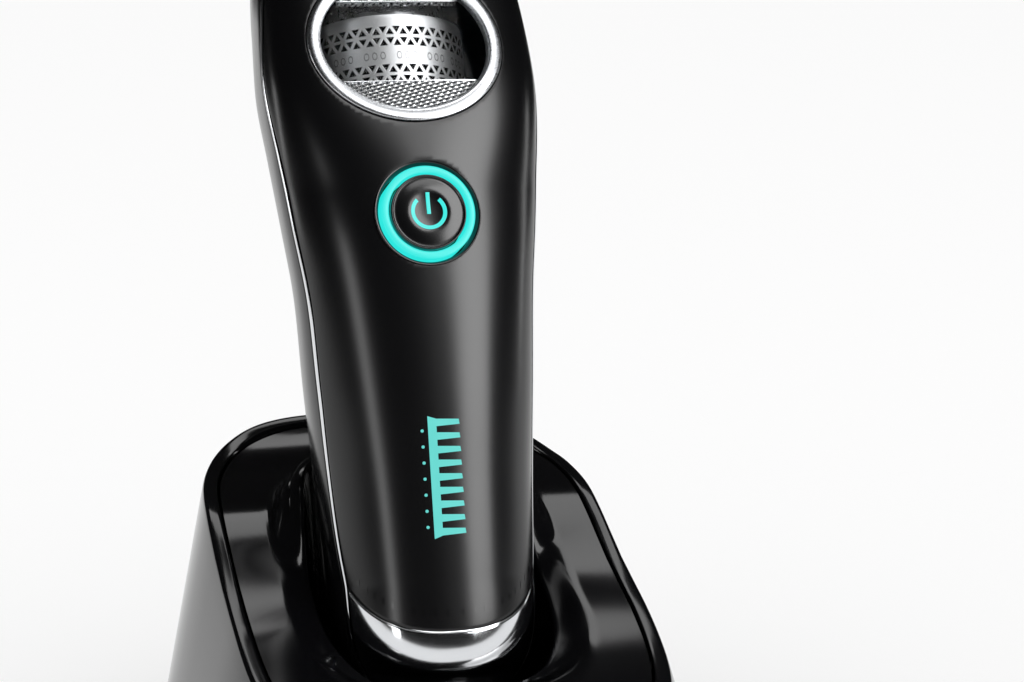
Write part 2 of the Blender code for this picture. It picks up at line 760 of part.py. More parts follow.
def make_lever(looks, frame, pin_y, pin_z):
    y, z = LEVER_PIVOT
    outline = []
    for i in range(13):
        angle = math.pi * i / 12
        outline.append((5.2 * math.cos(angle), 5.2 * math.sin(angle)))
    outline += [(-3.2, -10.0), (-2.8, -17.0)]
    for i in range(9):
        angle = math.pi + math.pi * i / 8
        outline.append((3.4 * math.cos(angle), -LEVER_LENGTH + 3.4 + 3.4 * math.sin(angle)))
    outline += [(2.8, -17.0), (3.2, -10.0)]
    turn = Matrix.Rotation(-CAM_REST, 3, "X")
    rings = []
    for x in (-26.4, -23.8):
        ring = []
        for across, up in outline:
            spot = turn @ Vector((0, across, up))
            ring.append((x, y + spot.y, z + spot.z))
        rings.append(ring)
    lever = from_rings("taper_lever", rings, looks["chrome"], frame)
    cut(lever, rod("lever_bore", (-30, y, z), (-20, y, z), 2.8, looks["chrome"], frame, 24))
    pad = turn @ Vector((0, 0, -LEVER_LENGTH + 3.6))
    centre = Vector((0, y + pad.y, z + pad.z))
    join(lever, rod("lever_pad", centre + Vector((-28.2, 0, 0)), centre + Vector((-25, 0, 0)), 2.9,
                    looks["chrome"], frame, 20))

    cam = rod("lever_cam", (-26.4, y, z), (-19.0, y, z), 2.5, looks["steel"], frame, 24)
    join(cam, rod("cam_disc", (-19.6, y, z), (-17.4, y, z), 3.6, looks["steel"], frame, 24))
    pin_ends = (-18, pin_y, pin_z), (-11.4, pin_y, pin_z)
    join(cam, rod("cam_pin", *pin_ends, CAM_PIN_RADIUS, looks["steel"], frame, 16))
    cut(cam, rod("cam_thread", (-30, y, z), (-21, y, z), 1.3, looks["steel"], frame, 12))
    screw("lever_screw", (-26.7, y, z), (-1, 0, 0), 3.4, 1.0, 5.0, looks["steel"], frame)
    tube("lever_washer", (-23.5, y, z), (-22.8, y, z), 4.6, 2.8, looks["brass"], frame, 20)


def make_shell_screws(looks, frame):
    for name, z in zip(("lower", "upper"), SHELL_SCREW_HEIGHTS):
        seat = body_section(z)[3] - 1.2
        screw(f"shell_screw_{name}", (0, seat + 0.3, z), (0, 1, 0), 2.3, 1.2, 5.0, looks["steel"], frame)


# --- Dock -------------------------------------------------------------------------------------------


def dock_angles():
    return [2 * math.pi * (i + 0.5) / DOCK_SEGMENTS for i in range(DOCK_SEGMENTS)]


def wall_point(angle, part, inset):
    # On the dock's side wall: part 0 is the bottom edge, part 1 the rim.
    low_x, low_y = dock_outline(BASE_HALF, BASE_CENTRE_Y, angle, inset)
    top_x, top_y = dock_outline(RIM_HALF, RIM_CENTRE_Y, angle, inset)
    top_z = rim_height(top_y)
    x, y = low_x + (top_x - low_x) * part, low_y + (top_y - low_y) * part
    return Vector((x, y + DOCK_Y, DOCK_BOTTOM + (top_z - DOCK_BOTTOM) * part))


def socket_point(angle, z, widen=0.0):
    # On the socket's tube, in the clipper's frame.
    power = 2 / SOCKET_POWER
    x = (SOCKET_HALF_WIDTH + widen) * signed_power(math.sin(angle), power)
    depth = SOCKET_MIDDLE - SOCKET_FRONT if math.cos(angle) > 0 else SOCKET_BACK - SOCKET_MIDDLE
    y = SOCKET_MIDDLE - (depth + widen) * signed_power(math.cos(angle), power)
    return Vector((x, y, z))


def to_world(point):
    y = point.y * math.cos(LEAN) + point.z * math.sin(LEAN)
    z = -point.y * math.sin(LEAN) + point.z * math.cos(LEAN)
    return Vector((point.x, y + BUTTON_Y, z + BUTTON_Z))


def deck_height(y, inward):
    # The deck follows the rim; near the socket it dips in front and climbs to a backrest behind.
    outer = rim_height(y) - DECK_DROP
    near = (inward - RISE_START) / (1 - RISE_START)
    return outer + (blend_curve(SOCKET_EDGE_HEIGHTS, y) - outer) * ease(near)


def socket_edge(angle, widen=0.0, drop=0.0):
    # Where the socket's tube comes out through the deck.
    low, high = -95.0, -20.0
    for _ in range(40):
        middle = (low + high) / 2
        spot = to_world(socket_point(angle, middle, widen))
        if spot.z > deck_height(spot.y - DOCK_Y, 1.0) - drop:
            high = middle
        else:
            low = middle
    return socket_point(angle, low, widen)


def deck_chain(widen, sink):
    # Rings from the deck's outer edge, across the deck and down the socket to its floor.
    edges = [socket_edge(angle, widen, sink) for angle in dock_angles()]
    rings = []
    for part in (0.0, 0.3, RISE_START, 0.78, 1.0):
        ring = []
        for angle, edge in zip(dock_angles(), edges):
            x, y = dock_outline(RIM_HALF, RIM_CENTRE_Y, angle, RIM_WALL + GAP)
            inner = to_world(edge)
            x += (inner.x - x) * part
            y += (inner.y - DOCK_Y - y) * part
            ring.append(Vector((x, y + DOCK_Y, deck_height(y, part) - sink)))
        rings.append(ring)
    floor = SOCKET_FLOOR - widen
    for part, shrink in ((0.5, 0.0), (1.0, 1.0)):
        ring = []
        for angle, edge in zip(dock_angles(), edges):
            ring.append(to_world(socket_point(angle, edge.z + (floor - edge.z) * part, widen - shrink)))
        rings.append(ring)
    rings.append([to_world(socket_point(angle, floor, widen - 12.0)) for angle in dock_angles()])
    return rings


def make_dock(looks):
    levels = [(part, 0.0) for part in (0.0, 0.35, 0.7, 1.0)]
    levels += [(part, RIM_WALL) for part in (1.0, 0.5, 0.0)]
    rings = [[wall_point(angle, part, inset) for angle in dock_angles()] for part, inset in levels]
    wall = from_rings("dock_wall", rings, looks["piano"], joined=True)

    top = deck_chain(0.0, 0.0)
    under = deck_chain(DECK_THICKNESS, DECK_THICKNESS)
    deck = from_rings("dock_deck", top[::-1] + under, looks["piano"])

    base_rings = []
    for height in (DOCK_BOTTOM + 0.3, DOCK_BOTTOM + 2.3):
        part = (height - DOCK_BOTTOM) / (RIM_HEIGHTS[-1][1] - DOCK_BOTTOM)
        outline = [wall_point(angle, part, RIM_WALL + 0.6) for angle in dock_angles()]
        base_rings.append([Vector((spot.x, spot.y, height)) for spot in outline])
    plate = from_rings("dock_base_plate", base_rings, looks["dark"])

    ballast_low, ballast_high = (-29, -34 + DOCK_Y, 5.0), (29, 40 + DOCK_Y, 10.0)
    box("ballast_plate", ballast_low, ballast_high, looks["steel"])
    box("dock_circuit_board", (-16, -6 + DOCK_Y, 11.0), (16, 30 + DOCK_Y, 12.6), looks["board"])

    spots = [(x, y) for x in (-34.0, 34.0) for y in (-36.0, 44.0)]
    for index, (x, y) in enumerate(spots, 1):
        y += DOCK_Y
        profile = [(5.6, 0.0), (6.0, 0.4), (6.0, FOOT_HEIGHT)]
        turned(f"rubber_foot_{index}", (x, y, 0), (0, 0, 1), profile, looks["rubber"], None, 24)
        inner = x * 0.62
        cut(plate, rod(f"base_hole_{index}", (inner, y, 0), (inner, y, 6), 1.5, looks["dark"], None, 16))
        screw(f"base_screw_{index}", (inner, y, DOCK_BOTTOM), (0, 0, -1), 2.6, 1.2, 2.6, looks["steel"])

    back = BASE_CENTRE_Y + BASE_HALF[1] + DOCK_Y
    cut(wall, box("inlet_cutter", (-5.3, back - 12, 9.2), (5.3, back + 4, 13.6), looks["dark"]))
    inlet = box("power_inlet", (-5.0, back - 13.0, 9.5), (5.0, back - 2.6, 13.3), looks["steel"])
    cut(inlet, box("inlet_mouth", (-4.3, back - 11.5, 10.1), (4.3, back + 4, 12.7), looks["steel"]))
    return deck


def make_dock_contacts(looks, deck, frame):
    block_low, block_high = (-4.5, 4.5, SOCKET_FLOOR + 0.3), (4.5, 26.5, BODY_BOTTOM - 0.4)
    block = box("contact_block", block_low, block_high, looks["dark"], frame)
    for name, y in zip(("front", "rear"), CONTACT_ROWS):
        bottom = SOCKET_FLOOR - 6.0
        foot, top = (0, y, bottom), (0, y, BODY_BOTTOM + 2.0)
        cut(deck, rod(f"deck_pin_hole_{name}", foot, top, 1.9, looks["dark"], frame, 16))
        cut(block, rod(f"block_pin_hole_{name}", foot, top, 1.9, looks["dark"], frame, 16))
        barrel_top, pin_top = (0, y, BODY_BOTTOM - 0.5), (0, y, BODY_BOTTOM + 0.3)
        tube(f"pin_barrel_{name}", foot, barrel_top, 1.6, 1.0, looks["brass"], frame, 16)
        rod(f"contact_pin_{name}", (0, y, bottom + 1.5), pin_top, 0.7, looks["gold"], frame, 12)


# --- Object -----------------------------------------------------------------------------------------


def make_looks():
    return {
        "satin": material("satin_black", (0.012, 0.012, 0.013), 0.42),
        "gloss": material("gloss_black", (0.008, 0.008, 0.009), 0.12),
        "piano": material("piano_black", (0.006, 0.006, 0.007), 0.08),
        "chrome": material("chrome_plate", (0.82, 0.83, 0.85), 0.08, 1.0),
        "steel": material("bright_steel", (0.62, 0.63, 0.65), 0.25, 1.0),
        "silver": material("silver_sleeve", (0.75, 0.75, 0.76), 0.3, 1.0),
        "woven": material("woven_plate", (0.7, 0.71, 0.72), 0.35, 1.0),
        "lens": material("clear_lens", (0.9, 0.92, 0.93), 0.03),
        "teal": material("teal_light", (0.02, 0.83, 0.79), 0.35),
        "dark": material("dark_plastic", (0.02, 0.02, 0.022), 0.5),
        "frame": material("frame_plastic", (0.05, 0.05, 0.055), 0.55),
        "white": material("white_acetal", (0.8, 0.8, 0.78), 0.45),
        "board": material("board_green", (0.01, 0.12, 0.05), 0.45),
        "cell": material("cell_sleeve", (0.02, 0.1, 0.35), 0.35),
        "copper": material("copper_winding", (0.6, 0.25, 0.1), 0.35, 1.0),
        "brass": material("brass", (0.7, 0.52, 0.22), 0.3, 1.0),
        "gold": material("gold_contact", (0.9, 0.68, 0.25), 0.22, 1.0),
        "rubber": material("black_rubber", (0.02, 0.02, 0.02), 0.8),
    }


def main():
    clear_scene()
    looks = make_looks()
    frame = empty("clipper_frame", (0, BUTTON_Y, BUTTON_Z), LEAN)
    button_frame = empty("button_frame", (0, 0, 0), BUTTON_SLOPE, frame)
    make_front_cover(looks["satin"], frame)
    make_end_plate(looks["chrome"], frame)
    make_back_shell(looks["gloss"], frame)
    make_seam_trims(looks["chrome"], frame)
    make_bottom_cap(looks["dark"], looks["gold"], frame)
    make_window(looks, frame)
    make_button(looks, frame, button_frame)
    make_drive(looks, frame)
    make_electronics(looks, frame)
    make_head(looks, frame)
    make_shell_screws(looks, frame)
    deck = make_dock(looks)
    make_dock_contacts(looks, deck, frame)


main()
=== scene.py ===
# Studio scene of a cordless hair clipper standing in its charging dock.
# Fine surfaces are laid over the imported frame; the frame's own pieces get their finishes here too.
import json
import math

import bmesh
import bpy
from mathutils import Matrix, Vector


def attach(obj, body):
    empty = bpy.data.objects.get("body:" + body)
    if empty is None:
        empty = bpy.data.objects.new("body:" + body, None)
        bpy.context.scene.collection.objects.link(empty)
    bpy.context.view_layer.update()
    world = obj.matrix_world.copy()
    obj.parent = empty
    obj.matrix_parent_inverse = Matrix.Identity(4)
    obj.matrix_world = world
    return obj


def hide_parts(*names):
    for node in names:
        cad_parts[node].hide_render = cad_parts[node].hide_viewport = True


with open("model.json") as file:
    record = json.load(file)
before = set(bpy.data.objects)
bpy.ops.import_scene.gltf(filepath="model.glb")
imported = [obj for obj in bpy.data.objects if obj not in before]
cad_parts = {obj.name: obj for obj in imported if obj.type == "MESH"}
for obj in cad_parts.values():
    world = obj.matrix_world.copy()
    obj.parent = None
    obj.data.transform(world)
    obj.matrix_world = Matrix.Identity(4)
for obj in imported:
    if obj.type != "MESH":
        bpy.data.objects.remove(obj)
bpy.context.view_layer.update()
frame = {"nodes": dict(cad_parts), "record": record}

record = frame["record"]
nodeBody = {node: body for body, members in record["behaviour"]["bodies"].items() for node in members}
nodeSlot = {row["node"]: row["material_slot"] for row in record["subparts"]}
print("frame loaded:", len(frame["nodes"]), "pieces")

mm = 0.001
lean = math.radians(14)  # how far the clipper leans back in its dock
buttonPlace = Vector((0, -6.3, 108))
clipperSpace = Matrix.Translation(buttonPlace * mm) @ Matrix.Rotation(-lean, 4, "X") @ Matrix.Scale(mm, 4)
buttonSpace = clipperSpace @ Matrix.Rotation(-math.radians(8), 4, "X")
dockSpace = Matrix.Translation((0, buttonPlace.y * mm, 0)) @ Matrix.Scale(mm, 4)


# Shapes shared by the pieces, in millimetres

body = {
    # height along the grip, half width, front, widest line, back
    "stations": [
        (-62, 17.6, -0.8, 15.9, 31.9),
        (-45, 18.6, -0.9, 16.2, 32.9),
        (-28, 19.8, -1.1, 15.2, 33.4),
        (-12, 20.7, -0.9, 13.5, 33.4),
        (0, 22.1, 0, 13.8, 34.8),
        (12, 23.4, 2.1, 15.4, 37),
        (24, 24.3, 5.3, 18.7, 39.8),
        (36, 23.6, 9.9, 20.4, 42),
        (48, 22.4, 14.8, 23, 43.6),
        (62, 22.2, 19.2, 28.4, 44.6),
        (75, 22.2, 23.2, 33.5, 44.4),
        (83, 21.6, 29.5, 36.5, 44),
    ],
    # the front cover's edge forward of the widest line, by height
    "seam": [
        (-80, 7.2),
        (-73, 7.9),
        (-63, 8.1),
        (-53, 7.3),
        (-42, 7.1),
        (-30, 7.1),
        (-18, 6.4),
        (-6, 5.4),
        (6, 5),
        (20, 5.4),
        (32, 5),
        (44, 4.4),
    ],
    # how square the section is: at the foot, gained higher up, from this height, over this much
    "frontPower": (2.3, 1, 4, 22),
    "backPower": (2.3, 2.7, 25, 37),
    "roundStart": -64,
    "roundDepth": 19,
    "roundPower": 2.6,
    "bottom": -80,
    "wall": 2,
    # the front cover's U-shaped lower edge: its lowest height, its rise at the sides, its power
    "coverFoot": -70,
    "coverRise": 8,
    "coverPower": 2.1,
}


def blendCurve(points, at):
    # A smooth curve through (position, value) points, level past its ends
    if at <= points[0][0]:
        return points[0][1]
    if at >= points[-1][0]:
        return points[-1][1]
    last = len(points) - 1
    i = max(k for k in range(last) if points[k][0] <= at)

    def slope(k):
        low, high = max(k - 1, 0), min(k + 1, last)
        return (points[high][1] - points[low][1]) / (points[high][0] - points[low][0])

    span = points[i + 1][0] - points[i][0]
    t = (at - points[i][0]) / span
    start = points[i][1] * (2 * t**3 - 3 * t**2 + 1) + slope(i) * span * (t**3 - 2 * t**2 + t)
    return start + points[i + 1][1] * (3 * t**2 - 2 * t**3) + slope(i + 1) * span * (t**3 - t**2)


def ease(t):
    t = min(max(t, 0), 1)
    return t * t * (3 - 2 * t)


def signedPower(value, power):
    return math.copysign(abs(value) ** power, value)


sectionCurves = [[(row[0], row[column]) for row in body["stations"]] for column in range(1, 5)]


def bodySection(z):
    # Half width, front, widest line and back; the grip's end is rounded
    half, front, widest, back = (blendCurve(curve, max(z, body["roundStart"])) for curve in sectionCurves)
    if z < body["roundStart"]:
        drop = (body["roundStart"] - z) / body["roundDepth"]
        half *= (1 - drop ** body["roundPower"]) ** (1 / body["roundPower"])
        deep = (1 - drop**4) ** 0.25
        front = widest - (widest - front) * deep
        back = widest + (back - widest) * deep
    return half, front, widest, back


def sectionPower(side, z):
    base, gain, start, span = body[side]
    return base + gain * ease((z - start) / span)


def bodyPoint(z, angle, inset=0, section=None):
    half, front, widest, back = section or bodySection(z)
    if math.cos(angle) > 0:
        power = 2 / sectionPower("frontPower", z)
        depth = widest - front - inset
    else:
        power = 2 / sectionPower("backPower", z)
        depth = back - widest - inset
    x = (half - inset) * signedPower(math.sin(angle), power)
    return Vector((x, widest - depth * signedPower(math.cos(angle), power), z))


def seamAngle(z, behind, section=None):
    half, front, widest, back = section or bodySection(z)
    forward = blendCurve(body["seam"], z) - behind
    return math.acos((forward / (widest - front)) ** (sectionPower("frontPower", z) / 2))


def frontSurface(x, z, inset=0):
    half, front, widest, back = bodySection(z)
    power = sectionPower("frontPower", z)
    side = min(abs(x) / (half - inset), 0.999)
    return widest - (widest - front - inset) * (1 - side**power) ** (1 / power)


def coverBottom(u):
    return body["coverFoot"] + body["coverRise"] * abs(u) ** body["coverPower"]


# Ways of working


def deselectAll():
    if bpy.context.object and bpy.context.object.mode != "OBJECT":
        bpy.ops.object.mode_set(mode="OBJECT")
    bpy.ops.object.select_all(action="DESELECT")


def pick(piece):
    deselectAll()
    piece.select_set(True)
    bpy.context.view_layer.objects.active = piece


def layGrid(name, columns, rows, place):
    # A flat grid whose points are moved onto a surface: place takes u and v from 0 to 1
    deselectAll()
    bpy.ops.mesh.primitive_grid_add(x_subdivisions=columns, y_subdivisions=rows, size=2)
    piece = bpy.context.object
    piece.name = piece.data.name = name
    for vert in piece.data.vertices:
        vert.co = place((vert.co.x + 1) / 2, (vert.co.y + 1) / 2)
    return piece


def layRing(name, around, profile, place):
    # A ring whose section is a closed profile: place takes an angle and one of the profile's entries
    deselectAll()
    count = len(profile)
    bpy.ops.mesh.primitive_torus_add(
        major_segments=around, minor_segments=count, major_radius=1, minor_radius=0.2
    )
    piece = bpy.context.object
    piece.name = piece.data.name = name
    for index, vert in enumerate(piece.data.vertices):
        vert.co = place(2 * math.pi * (index // count) / around, profile[index % count])
    return closeUp(piece)


def closeUp(piece):
    # Closes seams and poles and points every face outwards
    pick(piece)
    bpy.ops.object.mode_set(mode="EDIT")
    bpy.ops.mesh.select_all(action="SELECT")
    bpy.ops.mesh.remove_doubles(threshold=0.0005)
    bpy.ops.mesh.delete_loose(use_verts=True, use_edges=True, use_faces=False)
    bpy.ops.mesh.select_all(action="SELECT")
    bpy.ops.mesh.normals_make_consistent(inside=False)
    bpy.ops.object.mode_set(mode="OBJECT")
    return piece


def turned(name, profile, steps=96):
    # A profile of (radius, height) turned about the button's axis, out of the front
    def place(angle, spot):
        return Vector((spot[0] * math.cos(angle), -spot[1], spot[0] * math.sin(angle)))

    return layRing(name, steps, profile, place)


def turnOutward(piece, inside):
    # Flips an open sheet whose faces look towards a point inside the object
    facing = sum((face.center - Vector(inside)).dot(face.normal) * face.area for face in piece.data.polygons)
    if facing < 0:
        pick(piece)
        bpy.ops.object.mode_set(mode="EDIT")
        bpy.ops.mesh.select_all(action="SELECT")
        bpy.ops.mesh.flip_normals()
        bpy.ops.object.mode_set(mode="OBJECT")
    return piece


def applyStep(piece, kind, **settings):
    pick(piece)
    step = piece.modifiers.new(kind.title(), kind)
    for setting, value in settings.items():
        setattr(step, setting, value)
    bpy.ops.object.modifier_apply(modifier=step.name)
    return piece


def thicken(piece, wall, edge=0):
    # A wall on the inner side of a sheet, and rounded edges
    applyStep(piece, "SOLIDIFY", thickness=wall, offset=-1, use_even_offset=False)
    if edge:
        applyStep(piece, "BEVEL", width=edge, segments=2, limit_method="ANGLE", angle_limit=math.radians(50))
    return piece


def openHole(piece, reach, snap):
    # Opens a hole where reach is under 1 and moves its ragged edge onto the line where reach is 1
    bm = bmesh.new()
    bm.from_mesh(piece.data)
    inside = [face for face in bm.faces if reach(face.calc_center_median()) < 1]
    bmesh.ops.delete(bm, geom=inside, context="FACES")
    for vert in bm.verts:
        if vert.is_boundary and 0.75 < reach(vert.co) < 1.25:
            vert.co = snap(vert.co)
    bm.to_mesh(piece.data)
    bm.free()
    return piece


def finishPiece(piece, space, bodyName, slotName, stands=(), smooth=40):
    piece.data.transform(space)
    pick(piece)
    bpy.ops.object.shade_smooth_by_angle(angle=math.radians(smooth))
    piece.data.materials.clear()
    piece.data.materials.append(finishes[slotName])
    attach(piece, bodyName)
    if stands:
        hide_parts(*stands)
    return piece


def joinPieces(name, pieces):
    pick(pieces[0])
    for piece in pieces:
        piece.select_set(True)
    bpy.ops.object.join()
    joined = bpy.context.object
    joined.name = joined.data.name = name
    return joined


# Finishes


def hexColour(code):
    # An sRGB hex colour as linear light
    parts = [int(code[i : i + 2], 16) / 255 for i in (1, 3, 5)]
    linear = [part / 12.92 if part <= 0.04045 else ((part + 0.055) / 1.055) ** 2.4 for part in parts]
    return (*linear, 1)


def addNode(tree, kind, sockets=None, **settings):
    node = tree.nodes.new(kind)
    for setting, value in settings.items():
        setattr(node, setting, value)
    for socket, value in (sockets or {}).items():
        if isinstance(value, bpy.types.NodeSocket):
            tree.links.new(value, node.inputs[socket])
        else:
            node.inputs[socket].default_value = value
    return node


def calculate(tree, operation, *values):
    # One calculation on the values or outputs given, in the order of its sockets
    return addNode(tree, "ShaderNodeMath", dict(enumerate(values)), operation=operation).outputs[0]


def newFinish(name, look):
    # A Principled surface with its fixed values set on the shader's own sockets
    finish = bpy.data.materials.new(name)
    finish.use_nodes = True
    tree = finish.node_tree
    shader = tree.nodes["Principled BSDF"]
    shader.inputs["Base Color"].default_value = hexColour(look["colour"])
    for socket, value in look.get("shader", {}).items():
        shader.inputs[socket].default_value = value
    finish.diffuse_color = hexColour(look["colour"])
    return finish, tree, shader


metal = {"Metallic": 1.0}


def grainFinish(name, look):
    # Fine grain: colour, roughness and relief all follow one noise of a real size in millimetres
    finish, tree, shader = newFinish(name, look)
    spot = addNode(tree, "ShaderNodeTexCoord")
    stretch = addNode(
        tree,
        "ShaderNodeMapping",
        {"Vector": spot.outputs["Object"], "Scale": look.get("stretch", (1, 1, 1))},
    )
    noise = addNode(
        tree,
        "ShaderNodeTexNoise",
        {
            "Vector": stretch.outputs["Vector"],
            "Scale": 1 / (look["grain"] * mm),
            "Detail": look.get("detail", 3.0),
            "Roughness": 0.55,
        },
    )
    rough = addNode(
        tree,
        "ShaderNodeMapRange",
        {"Value": noise.outputs["Fac"], "To Min": look["rough"][0], "To Max": look["rough"][1]},
    )
    tree.links.new(rough.outputs["Result"], shader.inputs["Roughness"])
    tint = addNode(
        tree,
        "ShaderNodeMix",
        {
            "Factor": noise.outputs["Fac"],
            6: hexColour(look["colour"]),
            7: hexColour(look.get("second", look["colour"])),
        },
        data_type="RGBA",
    )
    tree.links.new(tint.outputs[2], shader.inputs["Base Color"])
    if look.get("relief"):
        bump = addNode(
            tree,
            "ShaderNodeBump",
            {"Height": noise.outputs["Fac"], "Strength": 1.0, "Distance": look["relief"] * mm},
        )
        tree.links.new(bump.outputs["Normal"], shader.inputs["Normal"])
    return finish


grainLooks = {
    # Injection-moulded ABS polished to a piano gloss: near black, mirror-like, with a slow orange peel
    "piano_black": (
        "polishedPianoAbs",
        {"colour": "#040405", "second": "#060607", "grain": 14, "rough": (0.09, 0.12), "relief": 0.003},
    ),
    # Sprayed soft satin lacquer over ABS: a wide, quiet highlight with a very fine tooth
    "satin_black": (
        "satinLacqueredAbs",
        {"colour": "#030304", "second": "#040405", "grain": 0.35, "rough": (0.22, 0.26), "relief": 0.0004},
    ),
    # Gloss-moulded ABS of the back shell and button
    "gloss_black": (
        "glossMouldedAbs",
        {"colour": "#040405", "second": "#060607", "grain": 10, "rough": (0.16, 0.22), "relief": 0.002},
    ),
    # Decorative chrome plating over ABS: a mirror with faint polishing haze
    "chrome_plate": (
        "polishedChromePlating",
        {
            "colour": "#D9DBDE", "second": "#E4E6E8", "grain": 6, "rough": (0.06, 0.12),
            "relief": 0.001, "shader": metal,
        },
    ),
    # The same plating over a blasted tool face, so it is satin: the window's frame
    "satin_chrome": (
        "satinChromePlating",
        {
            "colour": "#B9BBBE", "second": "#C9CBCE", "grain": 0.6, "rough": (0.24, 0.32),
            "relief": 0.001, "shader": metal,
        },
    ),
    # Ground tool steel, with grinding lines across the blade
    "blade_steel": (
        "groundToolSteel",
        {
            "colour": "#A9ABAF", "second": "#C3C5C8", "grain": 0.9, "stretch": (0.04, 1, 1),
            "rough": (0.2, 0.36), "relief": 0.002, "shader": metal,
        },
    ),
    # Zinc-plated screws
    "screw_steel": (
        "zincPlatedSteel",
        {
            "colour": "#9EA1A6", "second": "#B6B9BD", "grain": 1.2, "rough": (0.26, 0.4),
            "relief": 0.001, "shader": metal,
        },
    ),
    # Spark-eroded moulded ABS: dull, with a visible fine grain
    "dark_plastic": (
        "texturedBlackAbs",
        {"colour": "#17181A", "second": "#1C1D1F", "grain": 0.28, "rough": (0.46, 0.62), "relief": 0.006},
    ),
    # Glass-filled nylon of the inner frame
    "frame_plastic": (
        "glassFilledNylon",
        {
            "colour": "#26272A", "second": "#303236", "grain": 0.5, "stretch": (1, 1, 0.3),
            "rough": (0.5, 0.66), "relief": 0.004,
        },
    ),
    # Moulded acetal of the drive yoke: milky and waxy
    "white_acetal": (
        "mouldedAcetal",
        {
            "colour": "#E4E3DC",
            "second": "#ECEBE5",
            "grain": 3,
            "rough": (0.34, 0.44),
            "relief": 0.002,
            "shader": {"Subsurface Weight": 0.1, "Subsurface Scale": 0.001},
        },
    ),
    # Printed PVC shrink sleeve round the cell
    "cell_sleeve": (
        "pvcShrinkSleeve",
        {"colour": "#2A5FAE", "second": "#3069B8", "grain": 2.5, "rough": (0.28, 0.4), "relief": 0.004},
    ),
    # Enamelled copper winding: fine turns round the rotor
    "copper_winding": (
        "enamelledCopper",
        {
            "colour": "#A85B2A", "second": "#C87B41", "grain": 0.4, "stretch": (1, 1, 8),
            "rough": (0.25, 0.45), "relief": 0.02, "shader": metal,
        },
    ),
    # Turned free-cutting brass
    "brass": (
        "turnedBrass",
        {
            "colour": "#C6A15A", "second": "#D6B46D", "grain": 0.8, "stretch": (1, 1, 6),
            "rough": (0.22, 0.36), "relief": 0.002, "shader": metal,
        },
    ),
    # Hard gold flash over nickel
    "gold_contact": (
        "hardGoldPlating",
        {
            "colour": "#E2BC63", "second": "#EBC977", "grain": 1.5, "rough": (0.14, 0.26),
            "relief": 0.001, "shader": metal,
        },
    ),
    # Moulded nitrile rubber of the feet
    "black_rubber": (
        "mouldedRubber",
        {"colour": "#1A1A1A", "second": "#222222", "grain": 0.4, "rough": (0.72, 0.88), "relief": 0.01},
    ),
    # Hot-rolled steel plate with a dark mill scale
    "ballast_steel": (
        "hotRolledSteel",
        {
            "colour": "#55565A", "second": "#6B6C70", "grain": 3, "rough": (0.45, 0.65),
            "relief": 0.02, "shader": metal,
        },
    ),
}


def glowFinish(look):
    # Translucent acrylic light guide lit from behind: even teal glow with a slightly paler middle; also used
    # for the printed ink, where the glow is a painted glow
    finish, tree, shader = newFinish(look["name"], look)
    spot = addNode(tree, "ShaderNodeTexCoord")
    noise = addNode(
        tree,
        "ShaderNodeTexNoise",
        {"Vector": spot.outputs["Object"], "Scale": 1 / (look["grain"] * mm), "Detail": 2.0},
    )
    tint = addNode(
        tree,
        "ShaderNodeMix",
        {"Factor": noise.outputs["Fac"], 6: hexColour(look["lit"]), 7: hexColour(look["second"])},
        data_type="RGBA",
    )
    tree.links.new(tint.outputs[2], shader.inputs["Emission Color"])
    shader.inputs["Emission Strength"].default_value = look["glow"]
    return finish


def lensFinish():
    # Polished polycarbonate window: nearly invisible, with a clear gloss
    look = {"colour": "#05080A", "shader": {"Roughness": 0.03, "Alpha": 0.05, "IOR": 1.58}}
    finish, tree, shader = newFinish("polishedPolycarbonate", look)
    spot = addNode(tree, "ShaderNodeTexCoord")
    noise = addNode(tree, "ShaderNodeTexNoise", {"Vector": spot.outputs["Object"], "Scale": 1 / (9 * mm)})
    bump = addNode(
        tree, "ShaderNodeBump", {"Height": noise.outputs["Fac"], "Strength": 0.5, "Distance": 0.002 * mm}
    )
    tree.links.new(bump.outputs["Normal"], shader.inputs["Normal"])
    return finish


# the weave's dark colour is painted shade laid on every other cell
weave = {"cell": 0.62, "slant": 0.25, "relief": 0.25, "light": "#F4F5F6", "dark": "#3C3F44", "gap": "#E0E2E4"}


